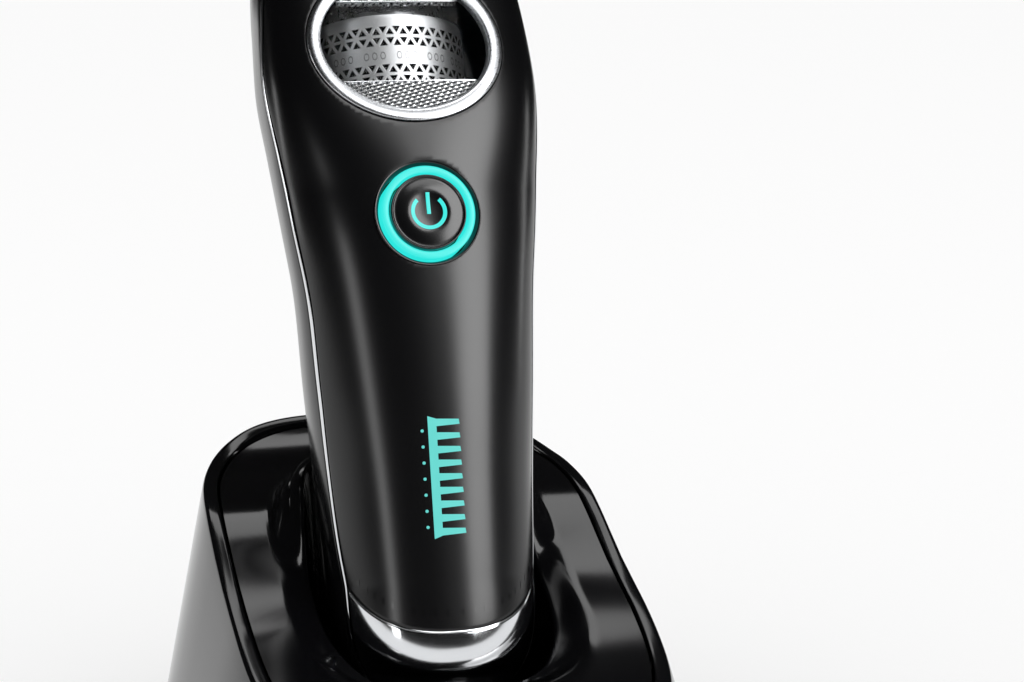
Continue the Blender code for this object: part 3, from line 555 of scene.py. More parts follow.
def wovenFinish(look):
    # Aluminium foil pressed into a basket weave: each cell's strands run across its neighbours'; every other
    # cell is painted darker, a painted shade for strands that turn away from the light
    finish, tree, shader = newFinish("pressedBasketWeave", {"colour": look["light"], "shader": metal})
    spot = addNode(tree, "ShaderNodeTexCoord")
    turn = addNode(
        tree,
        "ShaderNodeMapping",
        {"Vector": spot.outputs["Object"], "Rotation": (lean, 0, 0), "Scale": (1 / mm, 1 / mm, 1 / mm)},
    )
    parts = addNode(tree, "ShaderNodeSeparateXYZ", {"Vector": turn.outputs["Vector"]})
    cells, domes = [], []
    for along, across, slant in (("X", "Z", look["slant"]), ("Z", "X", -look["slant"])):
        # the weave lies at a slight slant across the plate
        shift = calculate(tree, "MULTIPLY", parts.outputs[across], slant / look["cell"])
        line = calculate(tree, "MULTIPLY_ADD", parts.outputs[along], 1 / look["cell"], shift)
        cells.append(calculate(tree, "FLOOR", line))
        domes.append(calculate(tree, "PINGPONG", calculate(tree, "FRACT", line), 0.5))
    height = calculate(tree, "MINIMUM", *domes)
    odd = calculate(tree, "FLOORED_MODULO", calculate(tree, "ADD", *cells), 2.0)
    # every other cell takes the dark colour: painted shade, since the foil is one material
    tint = addNode(
        tree,
        "ShaderNodeMix",
        {"Factor": odd, 6: hexColour(look["light"]), 7: hexColour(look["dark"])},
        data_type="RGBA",
    )
    groove = addNode(tree, "ShaderNodeMapRange", {"Value": height, "From Min": 0.04, "From Max": 0.16})
    deep = addNode(tree, "ShaderNodeMix", {"Factor": groove.outputs["Result"]}, data_type="RGBA")
    deep.inputs[6].default_value = hexColour(look["gap"])
    tree.links.new(tint.outputs[2], deep.inputs[7])
    tree.links.new(deep.outputs[2], shader.inputs["Base Color"])
    rough = addNode(tree, "ShaderNodeMapRange", {"Value": odd, "To Min": 0.22, "To Max": 0.42})
    tree.links.new(rough.outputs["Result"], shader.inputs["Roughness"])
    bump = addNode(
        tree, "ShaderNodeBump", {"Height": height, "Strength": 1.0, "Distance": look["relief"] * mm}
    )
    tree.links.new(bump.outputs["Normal"], shader.inputs["Normal"])
    return finish


punch = {
    "arc": 51.1,  # the sleeve's developed width and height
    "tall": 20.5,
    "pitch": 2.4,
    "row": 2.0,
    "size": 0.115,  # share of a cell left between holes, and its soft edge
    "soft": 0.04,
    "bands": (1.9, 8.7),  # distance down to each
    "grain": 0.5,
    "relief": 0.08,
    "marks": {"middle": 7.4, "pitch": 1.45, "half": (0.4, 0.6), "line": 0.2},
    "bright": "#E4E6E8",
    # the near-black colour is painted shade for the holes and the stamped outlines
    "dark": "#050506",
}


def punchedFinish(look):
    # Satin-rolled silver sleeve: two bands of three-cornered punched holes, six round each point of a
    # triangular grid, and a row of plain stamped ovals between the bands; the holes are painted near black as
    # painted shade instead of being cut, and the ovals' stamped outlines are painted darker as painted shade
    # in their grooves
    finish, tree, shader = newFinish("punchedSatinSilver", {"colour": look["bright"], "shader": metal})
    spot = addNode(tree, "ShaderNodeTexCoord")
    parts = addNode(tree, "ShaderNodeSeparateXYZ", {"Vector": spot.outputs["UV"]})
    along = calculate(tree, "MULTIPLY", parts.outputs["X"], look["arc"])
    down = calculate(tree, "MULTIPLY_ADD", parts.outputs["Y"], -look["tall"], look["tall"])
    holes = []
    for top in look["bands"]:
        rows = calculate(tree, "MULTIPLY_ADD", down, 1 / look["row"], -top / look["row"])
        half = calculate(tree, "MULTIPLY", rows, -0.5)
        columns = calculate(tree, "MULTIPLY_ADD", along, 1 / look["pitch"], half)
        across, up = calculate(tree, "FRACT", columns), calculate(tree, "FRACT", rows)
        total = calculate(tree, "ADD", across, up)
        low = calculate(
            tree, "MINIMUM", calculate(tree, "MINIMUM", across, up), calculate(tree, "SUBTRACT", 1.0, total)
        )
        rest = calculate(
            tree, "MINIMUM", calculate(tree, "SUBTRACT", 1.0, across), calculate(tree, "SUBTRACT", 1.0, up)
        )
        high = calculate(tree, "MINIMUM", rest, calculate(tree, "SUBTRACT", total, 1.0))
        inside = calculate(tree, "COMPARE", rows, 1.0, 1.0)
        hole = addNode(
            tree,
            "ShaderNodeMapRange",
            {
                "Value": calculate(tree, "MAXIMUM", low, high),
                "From Min": look["size"],
                "From Max": look["size"] + look["soft"],
            },
        )
        holes.append(calculate(tree, "MULTIPLY", hole.outputs["Result"], inside))
    mark = look["marks"]
    place = calculate(
        tree,
        "SUBTRACT",
        calculate(tree, "FRACT", calculate(tree, "MULTIPLY", along, 1 / mark["pitch"])),
        0.5,
    )
    oval = addNode(
        tree,
        "ShaderNodeCombineXYZ",
        {
            "X": calculate(tree, "MULTIPLY", place, mark["pitch"] / mark["half"][0]),
            "Y": calculate(
                tree, "MULTIPLY_ADD", down, 1 / mark["half"][1], -mark["middle"] / mark["half"][1]
            ),
        },
    )
    reach = addNode(tree, "ShaderNodeVectorMath", {0: oval.outputs["Vector"]}, operation="LENGTH")
    outline = calculate(tree, "COMPARE", reach.outputs["Value"], 1.0, mark["line"])
    group = calculate(
        tree,
        "GREATER_THAN",
        calculate(tree, "FRACT", calculate(tree, "MULTIPLY", along, 0.25 / mark["pitch"])),
        0.25,
    )
    stamped = calculate(tree, "MULTIPLY", calculate(tree, "MULTIPLY", outline, group), 0.6)
    cut = calculate(tree, "MAXIMUM", calculate(tree, "MAXIMUM", holes[0], holes[1]), stamped)
    # holes and stamped outlines take the near-black colour: painted shade
    tint = addNode(
        tree,
        "ShaderNodeMix",
        {"Factor": cut, 6: hexColour(look["bright"]), 7: hexColour(look["dark"])},
        data_type="RGBA",
    )
    tree.links.new(tint.outputs[2], shader.inputs["Base Color"])
    grain = addNode(
        tree, "ShaderNodeTexNoise", {"Vector": spot.outputs["Object"], "Scale": 1 / (look["grain"] * mm)}
    )
    rough = addNode(tree, "ShaderNodeMapRange", {"Value": grain.outputs["Fac"], "To Min": 0.4, "To Max": 0.5})
    tree.links.new(rough.outputs["Result"], shader.inputs["Roughness"])
    bump = addNode(
        tree,
        "ShaderNodeBump",
        {"Height": calculate(tree, "MULTIPLY", cut, -1.0), "Strength": 0.5, "Distance": look["relief"] * mm},
    )
    tree.links.new(bump.outputs["Normal"], shader.inputs["Normal"])
    return finish


def boardFinish():
    # Solder resist over copper tracks on glass fibre
    finish, tree, shader = newFinish(
        "solderResistBoard", {"colour": "#14532D", "shader": {"Roughness": 0.35}}
    )
    spot = addNode(tree, "ShaderNodeTexCoord")
    tracks = addNode(
        tree,
        "ShaderNodeTexBrick",
        {
            "Vector": spot.outputs["Object"],
            "Scale": 1 / (3 * mm),
            "Mortar Size": 0.05,
            "Color1": hexColour("#14532D"),
            "Color2": hexColour("#176033"),
            "Mortar": hexColour("#2C8A50"),
        },
        offset=0.37,
        squash=0.6,
    )
    tree.links.new(tracks.outputs["Color"], shader.inputs["Base Color"])
    bump = addNode(
        tree, "ShaderNodeBump", {"Height": tracks.outputs["Fac"], "Strength": 1.0, "Distance": 0.02 * mm}
    )
    tree.links.new(bump.outputs["Normal"], shader.inputs["Normal"])
    return finish


finishes = {slotName: grainFinish(name, look) for slotName, (name, look) in grainLooks.items()}
finishes["teal_light"] = glowFinish(
    {
        "name": "litTealAcrylic",
        "colour": "#062422",
        "lit": "#1DE6DC",
        "second": "#3BF2EA",
        "grain": 5,
        "glow": 0.95,
        "shader": {"Roughness": 0.4},
    }
)
# the printed ink glows like the lit ring: a painted glow, since ink is no lamp
finishes["teal_ink"] = glowFinish(
    {
        "name": "screenPrintedTealInkPaintedGlow",
        "colour": "#0C3B38",
        "lit": "#58D6CD",
        "second": "#66E0D8",
        "grain": 3,
        "glow": 0.85,
        "shader": {"Roughness": 0.55},
    }
)
finishes["clear_lens"] = lensFinish()
finishes["woven_plate"] = wovenFinish(weave)
finishes["silver_sleeve"] = punchedFinish(punch)
finishes["board_green"] = boardFinish()
print("finishes made:", len(finishes))


# The clipper's shell

cover = {"top": 82, "columns": 112, "rows": 236, "edge": 0.28, "levelling": 24, "inside": (0, 25, 0)}
windowOpening = {"middle": 30.45, "half": (14.75, 12.2), "band": 2.35, "clearance": 0.2}
buttonHole = {"radius": 8.95}


def coverPlace(u, v):
    side = 2 * u - 1
    foot = body["coverFoot"]
    z = foot + (cover["top"] - foot) * v
    # the rows follow the U-shaped edge and level out above it
    z += (coverBottom(side) - foot) * (1 - ease((z - foot) / cover["levelling"]))
    section = bodySection(z)
    return bodyPoint(z, side * seamAngle(z, 0, section), 0, section)


def windowReach(point, grow=0):
    half = windowOpening["half"]
    return math.hypot(point.x / (half[0] + grow), (point.z - windowOpening["middle"]) / (half[1] + grow))


def buttonReach(point):
    return math.hypot(point.x, point.z) / buttonHole["radius"]


def snapToWindow(point, grow):
    reach = windowReach(point, grow)
    x, z = point.x / reach, windowOpening["middle"] + (point.z - windowOpening["middle"]) / reach
    return Vector((x, frontSurface(x, z), z))


def snapToButton(point):
    reach = buttonReach(point)
    return Vector((point.x / reach, frontSurface(point.x / reach, point.z / reach), point.z / reach))


coverGrow = windowOpening["band"] + windowOpening["clearance"]
frontCover = layGrid("front_cover_fine", cover["columns"], cover["rows"], coverPlace)
turnOutward(frontCover, cover["inside"])
openHole(frontCover, lambda p: windowReach(p, coverGrow), lambda p: snapToWindow(p, coverGrow))
openHole(frontCover, buttonReach, snapToButton)
thicken(frontCover, body["wall"], cover["edge"])
finishPiece(frontCover, clipperSpace, "clipper", "satin_black", ["front_cover"])

endPlate = {"gap": 0.3, "columns": 112, "rows": 34, "wall": 1.8, "edge": 0.22, "inside": (0, 25, -60)}


def endPlatePlace(u, v):
    side = 2 * u - 1
    top = coverBottom(side) - endPlate["gap"]
    z = body["bottom"] + (top - body["bottom"]) * v
    section = bodySection(z)
    return bodyPoint(z, side * seamAngle(z, 0, section), 0, section)


plate = layGrid("end_plate_fine", endPlate["columns"], endPlate["rows"], endPlatePlace)
turnOutward(plate, endPlate["inside"])
thicken(plate, endPlate["wall"], endPlate["edge"])
finishPiece(plate, clipperSpace, "clipper", "chrome_plate", ["end_plate"])

# a thin bright moulding in the joint between cover and end plate
edgeTrim = {"width": 0.42, "proud": 0.16, "columns": 120, "rows": 5, "span": 0.995, "sink": 0.12, "wall": 0.6}


def edgeTrimPlace(u, v):
    side = (2 * u - 1) * edgeTrim["span"]
    z = coverBottom(side) - endPlate["gap"] - edgeTrim["sink"] + edgeTrim["width"] * v
    rise = edgeTrim["proud"] * math.sin(math.pi * (0.15 + 0.7 * v))
    section = bodySection(z)
    return bodyPoint(z, side * seamAngle(z, 0, section), -rise, section)


trim = layGrid("cover_edge_trim", edgeTrim["columns"], edgeTrim["rows"], edgeTrimPlace)
turnOutward(trim, endPlate["inside"])
thicken(trim, edgeTrim["wall"])
finishPiece(trim, clipperSpace, "clipper", "chrome_plate")

seamTrim = {
    "front": 0.3,  # the strip's edges behind the cover's edge
    "back": 1.1,
    "proud": 0.15,
    "low": -79,
    "high": 80,
    "columns": 5,
    "rows": 230,
    "wall": 1.1,
}
for sideName, side in (("left", -1), ("right", 1)):

    def seamTrimPlace(u, v, side=side):
        z = seamTrim["low"] + (seamTrim["high"] - seamTrim["low"]) * v
        section = bodySection(z)
        front, back = seamAngle(z, seamTrim["front"], section), seamAngle(z, seamTrim["back"], section)
        rise = seamTrim["proud"] * math.sin(math.pi * (0.12 + 0.76 * u))
        return bodyPoint(z, side * (front + (back - front) * u), -rise, section)

    strip = layGrid("seam_trim_" + sideName + "_fine", seamTrim["columns"], seamTrim["rows"], seamTrimPlace)
    turnOutward(strip, (0, 22, 0))
    thicken(strip, seamTrim["wall"])
    finishPiece(strip, clipperSpace, "clipper", "chrome_plate", ["seam_trim_" + sideName])

backShell = {
    "behind": 1.4,  # its front edge behind the cover's
    "columns": 150,
    "rows": 190,
    "sideTop": 80,  # height of its top edge at the sides and at the back
    "backTop": 65,
    "topStart": 57,  # above this height, and this share of the rows, the rows bend to the top edge
    "topShare": 0.86,
    "backStart": 37.5,  # the top edge drops from this depth, over this much
    "backSpan": 2.5,
    "sample": 70,
    "edge": 0.3,
    "screws": {"heights": (-66, 56), "radius": 2.7, "front": 20},
    "leverHole": {"depth": 34.5, "height": 71, "radius": 3.1, "side": -15},
}


def backShellPlace(u, v):
    sample, low, bend = backShell["sample"], backShell["topStart"], backShell["topShare"]
    guess = math.pi + (2 * u - 1) * (math.pi - seamAngle(sample, backShell["behind"]))
    behind = ease((bodyPoint(sample, guess).y - backShell["backStart"]) / backShell["backSpan"])
    edge = backShell["sideTop"] + (backShell["backTop"] - backShell["sideTop"]) * behind
    if v < bend:
        z = body["bottom"] + (low - body["bottom"]) * v / bend
    else:
        z = low + (edge - low) * (v - bend) / (1 - bend)
    section = bodySection(z)
    start = seamAngle(z, backShell["behind"], section)
    return bodyPoint(z, start + (2 * math.pi - 2 * start) * u, 0, section)


farAway = 9  # a reach that no hole has


def backY(x, z):
    half, front, widest, back = bodySection(z)
    power = sectionPower("backPower", z)
    return widest + (back - widest) * (1 - min(abs(x) / half, 0.999) ** power) ** (1 / power)


shell = layGrid("back_shell_fine", backShell["columns"], backShell["rows"], backShellPlace)
turnOutward(shell, (0, 15, 0))
screws = backShell["screws"]
for screwHeight in screws["heights"]:

    def screwReach(point, screwHeight=screwHeight):
        reach = math.hypot(point.x, point.z - screwHeight) / screws["radius"]
        return reach if point.y > screws["front"] else farAway

    def snapToScrew(point, screwHeight=screwHeight):
        reach = screwReach(point)
        x, z = point.x / reach, screwHeight + (point.z - screwHeight) / reach
        return Vector((x, backY(x, z), z))

    openHole(shell, screwReach, snapToScrew)


def leverReach(point):
    hole = backShell["leverHole"]
    reach = math.hypot(point.y - hole["depth"], point.z - hole["height"]) / hole["radius"]
    return reach if point.x < hole["side"] else farAway


openHole(shell, leverReach, lambda point: point)
thicken(shell, body["wall"], backShell["edge"])
finishPiece(shell, clipperSpace, "clipper", "gloss_black", ["back_shell"])
print("shell laid")


# The window

bezel = {
    # distance out from the opening and depth under the cover's face, round the section
    "section": [
        (0.02, 2.4), (0, 1.4), (0, 0.35), (0.03, 0.12), (0.12, -0.08), (0.24, -0.2), (0.36, -0.26),
        (0.44, -0.22), (0.52, -0.24), (0.9, -0.36), (1.4, -0.45),
        (1.8, -0.48), (1.94, -0.46), (2.02, -0.4), (2.12, -0.42),
        (2.22, -0.34), (2.31, -0.16), (2.35, 0.1), (2.35, 1.2), (2.32, 2.4),
    ],
    "around": 160,
}


def bezelPlace(angle, spot):
    half = windowOpening["half"]
    x = (half[0] + spot[0]) * math.cos(angle)
    z = windowOpening["middle"] + (half[1] + spot[0]) * math.sin(angle)
    return Vector((x, frontSurface(x, z) + spot[1], z))


bezelRing = layRing("window_bezel_fine", bezel["around"], bezel["section"], bezelPlace)
finishPiece(bezelRing, clipperSpace, "clipper", "chrome_plate", ["window_bezel"], smooth=60)
bezelRing.data.materials[0] = finishes["satin_chrome"]

lens = {"gap": 0.3, "wall": 1.2, "sink": 0.1, "around": 96, "rings": 20}


def lensPlace(u, v):
    half = windowOpening["half"]
    angle, share = 2 * math.pi * u, v
    x = (half[0] - lens["gap"]) * share * math.cos(angle)
    z = windowOpening["middle"] + (half[1] - lens["gap"]) * share * math.sin(angle)
    return Vector((x, frontSurface(x, z) + lens["sink"], z))


behindWindow = (0, 60, 30)
lensDisc = layGrid("window_lens_fine", lens["around"], lens["rings"], lensPlace)
closeUp(lensDisc)
turnOutward(lensDisc, behindWindow)
thicken(lensDisc, lens["wall"])
finishPiece(lensDisc, clipperSpace, "clipper", "clear_lens", ["window_lens"])

windowPlates = {
    "depth": 1.8,
    "wall": 1.4,
    "edge": 0.12,
    "inside": 0.12,
    "share": 0.985,  # of the opening's width
    "chords": {"upper": (1, 8), "lower": (-1, 6.8)},  # side of the middle, distance from it
    # the folded bright lip along a plate's straight edge
    "lip": {"share": 0.975, "under": 0.02, "tall": 0.26, "proud": 0.12, "wall": 0.4, "edge": 0.06},
}
lipLook = windowPlates["lip"]
for plateName, (side, chord) in windowPlates["chords"].items():

    def platePlace(u, v, side=side, chord=chord):
        half = windowOpening["half"]
        wide, tall = half[0] - windowPlates["inside"], half[1] - windowPlates["inside"]
        x = (2 * u - 1) * windowPlates["share"] * wide * math.sqrt(1 - (chord / tall) ** 2)
        arc = tall * math.sqrt(1 - (x / wide) ** 2)
        z = windowOpening["middle"] + side * (chord + (arc - chord) * v)
        return Vector((x, frontSurface(x, z) + windowPlates["depth"], z))

    sheet = layGrid(plateName + "_window_plate_fine", 72, 18, platePlace)
    turnOutward(sheet, behindWindow)
    thicken(sheet, windowPlates["wall"], windowPlates["edge"])
    finishPiece(sheet, clipperSpace, "clipper", "woven_plate", [plateName + "_window_plate"])

    def lipPlace(u, v, side=side, chord=chord):
        half = windowOpening["half"]
        wide = (half[0] - windowPlates["inside"]) * math.sqrt(1 - (chord / half[1]) ** 2)
        x = (2 * u - 1) * lipLook["share"] * wide
        z = windowOpening["middle"] + side * (chord - lipLook["under"] + lipLook["tall"] * v)
        return Vector((x, frontSurface(x, z) + windowPlates["depth"] - lipLook["proud"], z))

    lip = layGrid(plateName + "_plate_lip", 60, 2, lipPlace)
    turnOutward(lip, behindWindow)
    thicken(lip, lipLook["wall"], lipLook["edge"])
    finishPiece(lip, clipperSpace, "clipper", "chrome_plate")

sleeve = {
    "middle": 27.4,
    "radius": 14.6,
    "low": 16,
    "high": 36.5,
    "reach": 1.75,
    "tilt": math.radians(7),  # of the motor's axis
    "pivot": 30,
    "wall": 1.0,
    "edge": 0.15,
}


def sleevePlace(u, v):
    angle = sleeve["reach"] * (2 * u - 1)
    z = sleeve["low"] + (sleeve["high"] - sleeve["low"]) * v
    centre = sleeve["middle"] + (z - sleeve["pivot"]) * math.tan(sleeve["tilt"])
    drop = sleeve["radius"] * (1 - math.cos(angle)) * math.sin(sleeve["tilt"])
    return Vector((sleeve["radius"] * math.sin(angle), centre - sleeve["radius"] * math.cos(angle), z - drop))


sleeveSheet = layGrid("motor_sleeve_fine", 120, 24, sleevePlace)
turnOutward(sleeveSheet, (0, 30, 26))
thicken(sleeveSheet, sleeve["wall"], sleeve["edge"])
finishPiece(sleeveSheet, clipperSpace, "clipper", "silver_sleeve", ["motor_sleeve"])
print("window laid")


# The power button

button = {
    "cap": [
        (0, -4), (1.5, -4), (1.5, -2.2), (6.4, -2.2), (6.5, -2.1),
        (6.5, 0.12), (6.46, 0.24), (6.38, 0.3), (6.28, 0.31),
        (6.18, 0.27), (6.1, 0.18), (6, 0.14), (5.5, 0.24), (5, 0.33),
        (4.4, 0.42), (3.9, 0.47), (3.5, 0.48), (3.2, 0.44),
        (2.8, 0.36), (2, 0.27), (1, 0.23), (0, 0.22),
    ],
    "face": 5,
    "ring": [
        (6.8, -4.4), (8.1, -4.4), (8.1, -0.1), (8.02, 0), (7.8, 0.05), (7.45, 0.07), (7.1, 0.05),
        (6.88, 0), (6.8, -0.1),
    ],
    "collar": [
        (8.4, -4.4), (9.2, -4.4), (9.2, -0.5), (9.1, -0.34), (8.9, -0.32), (8.72, -0.45), (8.6, -1),
        (8.4, -1.2),
    ],
    "symbol": {"radius": 2.76, "width": 0.66, "open": 42, "barTop": 3.3, "barWidth": 0.66, "barFoot": -0.4},
    "symbolProud": 0.05,
    "symbolWall": 0.12,
    "symbolEdge": 0.02,
}
for nodeName, section, slotName in (
    ("power_button", "cap", "gloss_black"),
    ("light_ring", "ring", "teal_light"),
    ("button_collar", "collar", "gloss_black"),
):
    piece = turned(nodeName + "_fine", button[section])
    finishPiece(piece, buttonSpace, nodeBody[nodeName], slotName, [nodeName], smooth=50)


def capHeight(x, z):
    # How far the cap's face stands out at a place on it
    crown = sorted((radius, height) for radius, height in button["cap"][button["face"] :])
    return blendCurve(crown, math.hypot(x, z))


def symbolArc(u, v):
    mark = button["symbol"]
    angle = math.radians(90 + mark["open"] + (360 - 2 * mark["open"]) * u)
    radius = mark["radius"] + mark["width"] * (v - 0.5)
    x, z = radius * math.cos(angle), radius * math.sin(angle)
    return Vector((x, -capHeight(x, z) - button["symbolProud"], z))


def symbolBar(u, v):
    mark = button["symbol"]
    x = mark["barWidth"] * (u - 0.5)
    z = mark["barFoot"] + (mark["barTop"] - mark["barFoot"]) * v
    return Vector((x, -capHeight(x, z) - button["symbolProud"], z))


symbolParts = [layGrid("symbol_arc", 72, 4, symbolArc), layGrid("symbol_bar", 4, 12, symbolBar)]
for part in symbolParts:
    turnOutward(part, (0, 20, 0))
    thicken(part, button["symbolWall"], button["symbolEdge"])
symbol = joinPieces("power_symbol", symbolParts)
finishPiece(symbol, buttonSpace, "button", "teal_light")
print("button turned")


# Printed marks on the front cover: a plain comb drawing and a row of dots, and moulded ticks above the edge

comb = {
    "middle": -44.4, "long": 20.4, "left": -2.75, "spine": 1.45, "right": 2.7, "teeth": 9, "tooth": 1.25,
    "end": 0.5,  # from the spine's ends to the first and last tooth
    "joint": 0.02,  # how far a tooth runs into the spine
    "taper": {"foot": 0.18, "top": 0.22, "side": 0.1},  # a tooth's narrowing towards its tip
    "dots": {"x": -3.75, "top": -36.6, "foot": -52.6, "count": 7, "radius": 0.27},
    "proud": 0.05,
    "wall": 0.2,
}


def patch(name, corners, columns, rows, proud):
    # A four-cornered mark laid on the front face; corners run low left, low right, high right, high left
    def place(u, v):
        low = [corners[0][k] + (corners[1][k] - corners[0][k]) * u for k in (0, 1)]
        high = [corners[3][k] + (corners[2][k] - corners[3][k]) * u for k in (0, 1)]
        x, z = (low[k] + (high[k] - low[k]) * v for k in (0, 1))
        return Vector((x, frontSurface(x, z) - proud, z))

    mark = layGrid(name, columns, rows, place)
    turnOutward(mark, (0, 60, corners[0][1]))
    return thicken(mark, comb["wall"])


marks = []
top, foot = comb["middle"] + comb["long"] / 2, comb["middle"] - comb["long"] / 2
left, right, end = comb["left"], comb["right"], comb["end"]
spineRight = left + comb["spine"]
spineCorners = [(left, foot), (spineRight, foot + end), (spineRight, top - end), (left, top)]
marks.append(patch("comb_spine", spineCorners, 4, 40, comb["proud"]))
pitch = (comb["long"] - 2 * end - comb["tooth"]) / (comb["teeth"] - 1)
taper = comb["taper"]
for i in range(comb["teeth"]):
    low = foot + end + pitch * i
    high = low + comb["tooth"]
    root = spineRight - comb["joint"]
    tip = [(right, low + taper["foot"]), (right - taper["side"], high - taper["top"])]
    marks.append(patch(f"comb_tooth_{i + 1}", [(root, low), *tip, (root, high)], 8, 3, comb["proud"]))
dots = comb["dots"]
for i in range(dots["count"]):
    dotZ = dots["top"] + (dots["foot"] - dots["top"]) * i / (dots["count"] - 1)

    def dotPlace(u, v, dotZ=dotZ):
        x = dots["x"] + dots["radius"] * v * math.cos(2 * math.pi * u)
        z = dotZ + dots["radius"] * v * math.sin(2 * math.pi * u)
        return Vector((x, frontSurface(x, z) - comb["proud"], z))

    dot = closeUp(layGrid(f"dot_{i + 1}", 14, 2, dotPlace))
    turnOutward(dot, (0, 60, dotZ))
    marks.append(thicken(dot, comb["wall"]))
printedMark = finishPiece(joinPieces("printed_comb_mark", marks), clipperSpace, "clipper", "teal_light")
# the printed mark's teal ink carries a painted glow
printedMark.data.materials[0] = finishes["teal_ink"]

ticks = {"count": 20, "rise": 2.6, "tall": 1.0, "wide": 0.4, "reach": 0.86, "breaks": (5, 13), "proud": 0.07}
tickParts = []
for i in range(ticks["count"]):
    if i in ticks["breaks"]:
        continue
    share = ticks["reach"] * (2 * i / (ticks["count"] - 1) - 1)
    low = coverBottom(share) + ticks["rise"]
    x = bodyPoint(low, share * seamAngle(low, 0)).x
    half = ticks["wide"] / 2
    corners = [
        (x - half, low), (x + half, low), (x + half, low + ticks["tall"]), (x - half, low + ticks["tall"])
    ]
    tickParts.append(patch(f"tick_{i + 1}", corners, 2, 4, ticks["proud"]))
finishPiece(joinPieces("moulded_ticks", tickParts), clipperSpace, "clipper", "gloss_black")
print("marks laid")


# The dock

dock = {
    "rimHalf": (35.6, 48.9),
    "rimCentre": 2.7,
    "baseHalf": (45.8, 55.8),
    "baseCentre": 4,
    "power": 3.7,
    "rimWall": 2.6,
    "gap": 0.3,
    "bottom": 2,
    "drop": 0.4,
    "riseStart": 0.55,
    "around": 224,
    "rimHeights": [
        (-48.2, 29.2), (-34.7, 32.1), (-22.1, 35.9), (-10, 40.5), (3, 45.4), (14.8, 51.3), (21.4, 54.2),
        (30.5, 56.4), (36.8, 57.6), (42, 59.2), (46, 60.9), (49, 62.6), (51.6, 64),
    ],
    "edgeHeights": [
        (-24, 32), (-19.3, 33.3), (-12.8, 36.2), (-4.1, 39.9),
        (4.3, 44.6), (9, 50), (12.5, 55.6), (15.5, 59.8),
        (20, 62), (26, 63), (40, 63.6),
    ],
}
socket = {"half": 20.2, "front": -4.2, "middle": 18, "back": 36.2, "power": 2.6, "floor": -83.5, "lip": 1.3}


def dockOutline(half, centre, angle, inset=0):
    power = 2 / dock["power"]
    x = (half[0] - inset) * signedPower(math.sin(angle), power)
    return x, centre - (half[1] - inset) * signedPower(math.cos(angle), power)


def wallPoint(angle, share, inset):
    lowX, lowY = dockOutline(dock["baseHalf"], dock["baseCentre"], angle, inset)
    topX, topY = dockOutline(dock["rimHalf"], dock["rimCentre"], angle, inset)
    height = blendCurve(dock["rimHeights"], topY)
    return Vector(
        (
            lowX + (topX - lowX) * share,
            lowY + (topY - lowY) * share,
            dock["bottom"] + (height - dock["bottom"]) * share,
        )
    )


def socketPoint(angle, z, widen=0):
    power = 2 / socket["power"]
    depth = socket["middle"] - socket["front"] if math.cos(angle) > 0 else socket["back"] - socket["middle"]
    x = (socket["half"] + widen) * signedPower(math.sin(angle), power)
    return Vector((x, socket["middle"] - (depth + widen) * signedPower(math.cos(angle), power), z))


def inDock(point):
    # From the clipper's space to the dock's
    y = point.y * math.cos(lean) + point.z * math.sin(lean)
    return Vector((point.x, y, -point.y * math.sin(lean) + point.z * math.cos(lean) + buttonPlace.z))


def deckHeight(y, inward):
    outer = blendCurve(dock["rimHeights"], y) - dock["drop"]
    near = (inward - dock["riseStart"]) / (1 - dock["riseStart"])
    return outer + (blendCurve(dock["edgeHeights"], y) - outer) * ease(near)


def socketEdge(angle, widen, drop):
    low, high = -95, -20
    for _ in range(26):
        middle = (low + high) / 2
        spot = inDock(socketPoint(angle, middle, widen))
        if spot.z > deckHeight(spot.y, 1) - drop:
            high = middle
        else:
            low = middle
    return low


wallSection = [
    (0, 0), (0.25, 0), (0.5, 0), (0.75, 0), (0.9, 0), (0.975, 0), (0.988, 0.03), (0.996, 0.14),
    (1, 0.34), (1.0012, 0.8),
]
wallSection += [
    (1.0012, 1.8), (1, 2.24), (0.996, 2.46), (0.988, 2.57), (0.975, 2.6), (0.85, 2.6), (0.6, 2.6),
    (0.3, 2.6), (0, 2.6),
]
wall = layRing("dock_wall_fine", dock["around"], wallSection, lambda angle, spot: wallPoint(angle, *spot))
finishPiece(wall, dockSpace, "dock", "piano_black", ["dock_wall"], smooth=60)


def deckLine(angle, widen, sink):
    # Points from the deck's outer edge over the socket's lip and down to the middle of its floor
    x, y = dockOutline(dock["rimHalf"], dock["rimCentre"], angle, dock["rimWall"] + dock["gap"])
    outer = Vector((x, y, 0))
    edgeZ = socketEdge(angle, widen, sink)
    corner = inDock(socketPoint(angle, edgeZ, widen))
    points = []
    reach = (Vector((corner.x, corner.y, 0)) - outer).length
    last = 1 - socket["lip"] / reach
    for step in range(22):
        share = last * step / 21
        spot = outer + (Vector((corner.x, corner.y, 0)) - outer) * share
        points.append(Vector((spot.x, spot.y, deckHeight(spot.y, share) - sink)))
    start, finish = points[-1], inDock(socketPoint(angle, edgeZ - socket["lip"], widen))
    for t in (0.2, 0.4, 0.6, 0.8, 1):
        points.append(start * (1 - t) ** 2 + corner * 2 * t * (1 - t) + finish * t * t)
    floor = socket["floor"] - widen
    for share in (0.1, 0.3, 0.6, 0.9, 0.98):
        points.append(
            inDock(
                socketPoint(angle, edgeZ - socket["lip"] + (floor - edgeZ + socket["lip"]) * share, widen)
            ),
        )
    points.append(inDock(socketPoint(angle, floor, widen - 0.8)))
    points.append(inDock(socketPoint(angle, floor, widen - 8)))
    points.append(inDock(Vector((0, 16, floor))))
    return points


deckLines = {}


def deckPlace(angle, spot):
    if angle not in deckLines:
        deckLines[angle] = (deckLine(angle, 0, 0), deckLine(angle, 2, 2))
    layer, index = spot
    return deckLines[angle][layer][index]


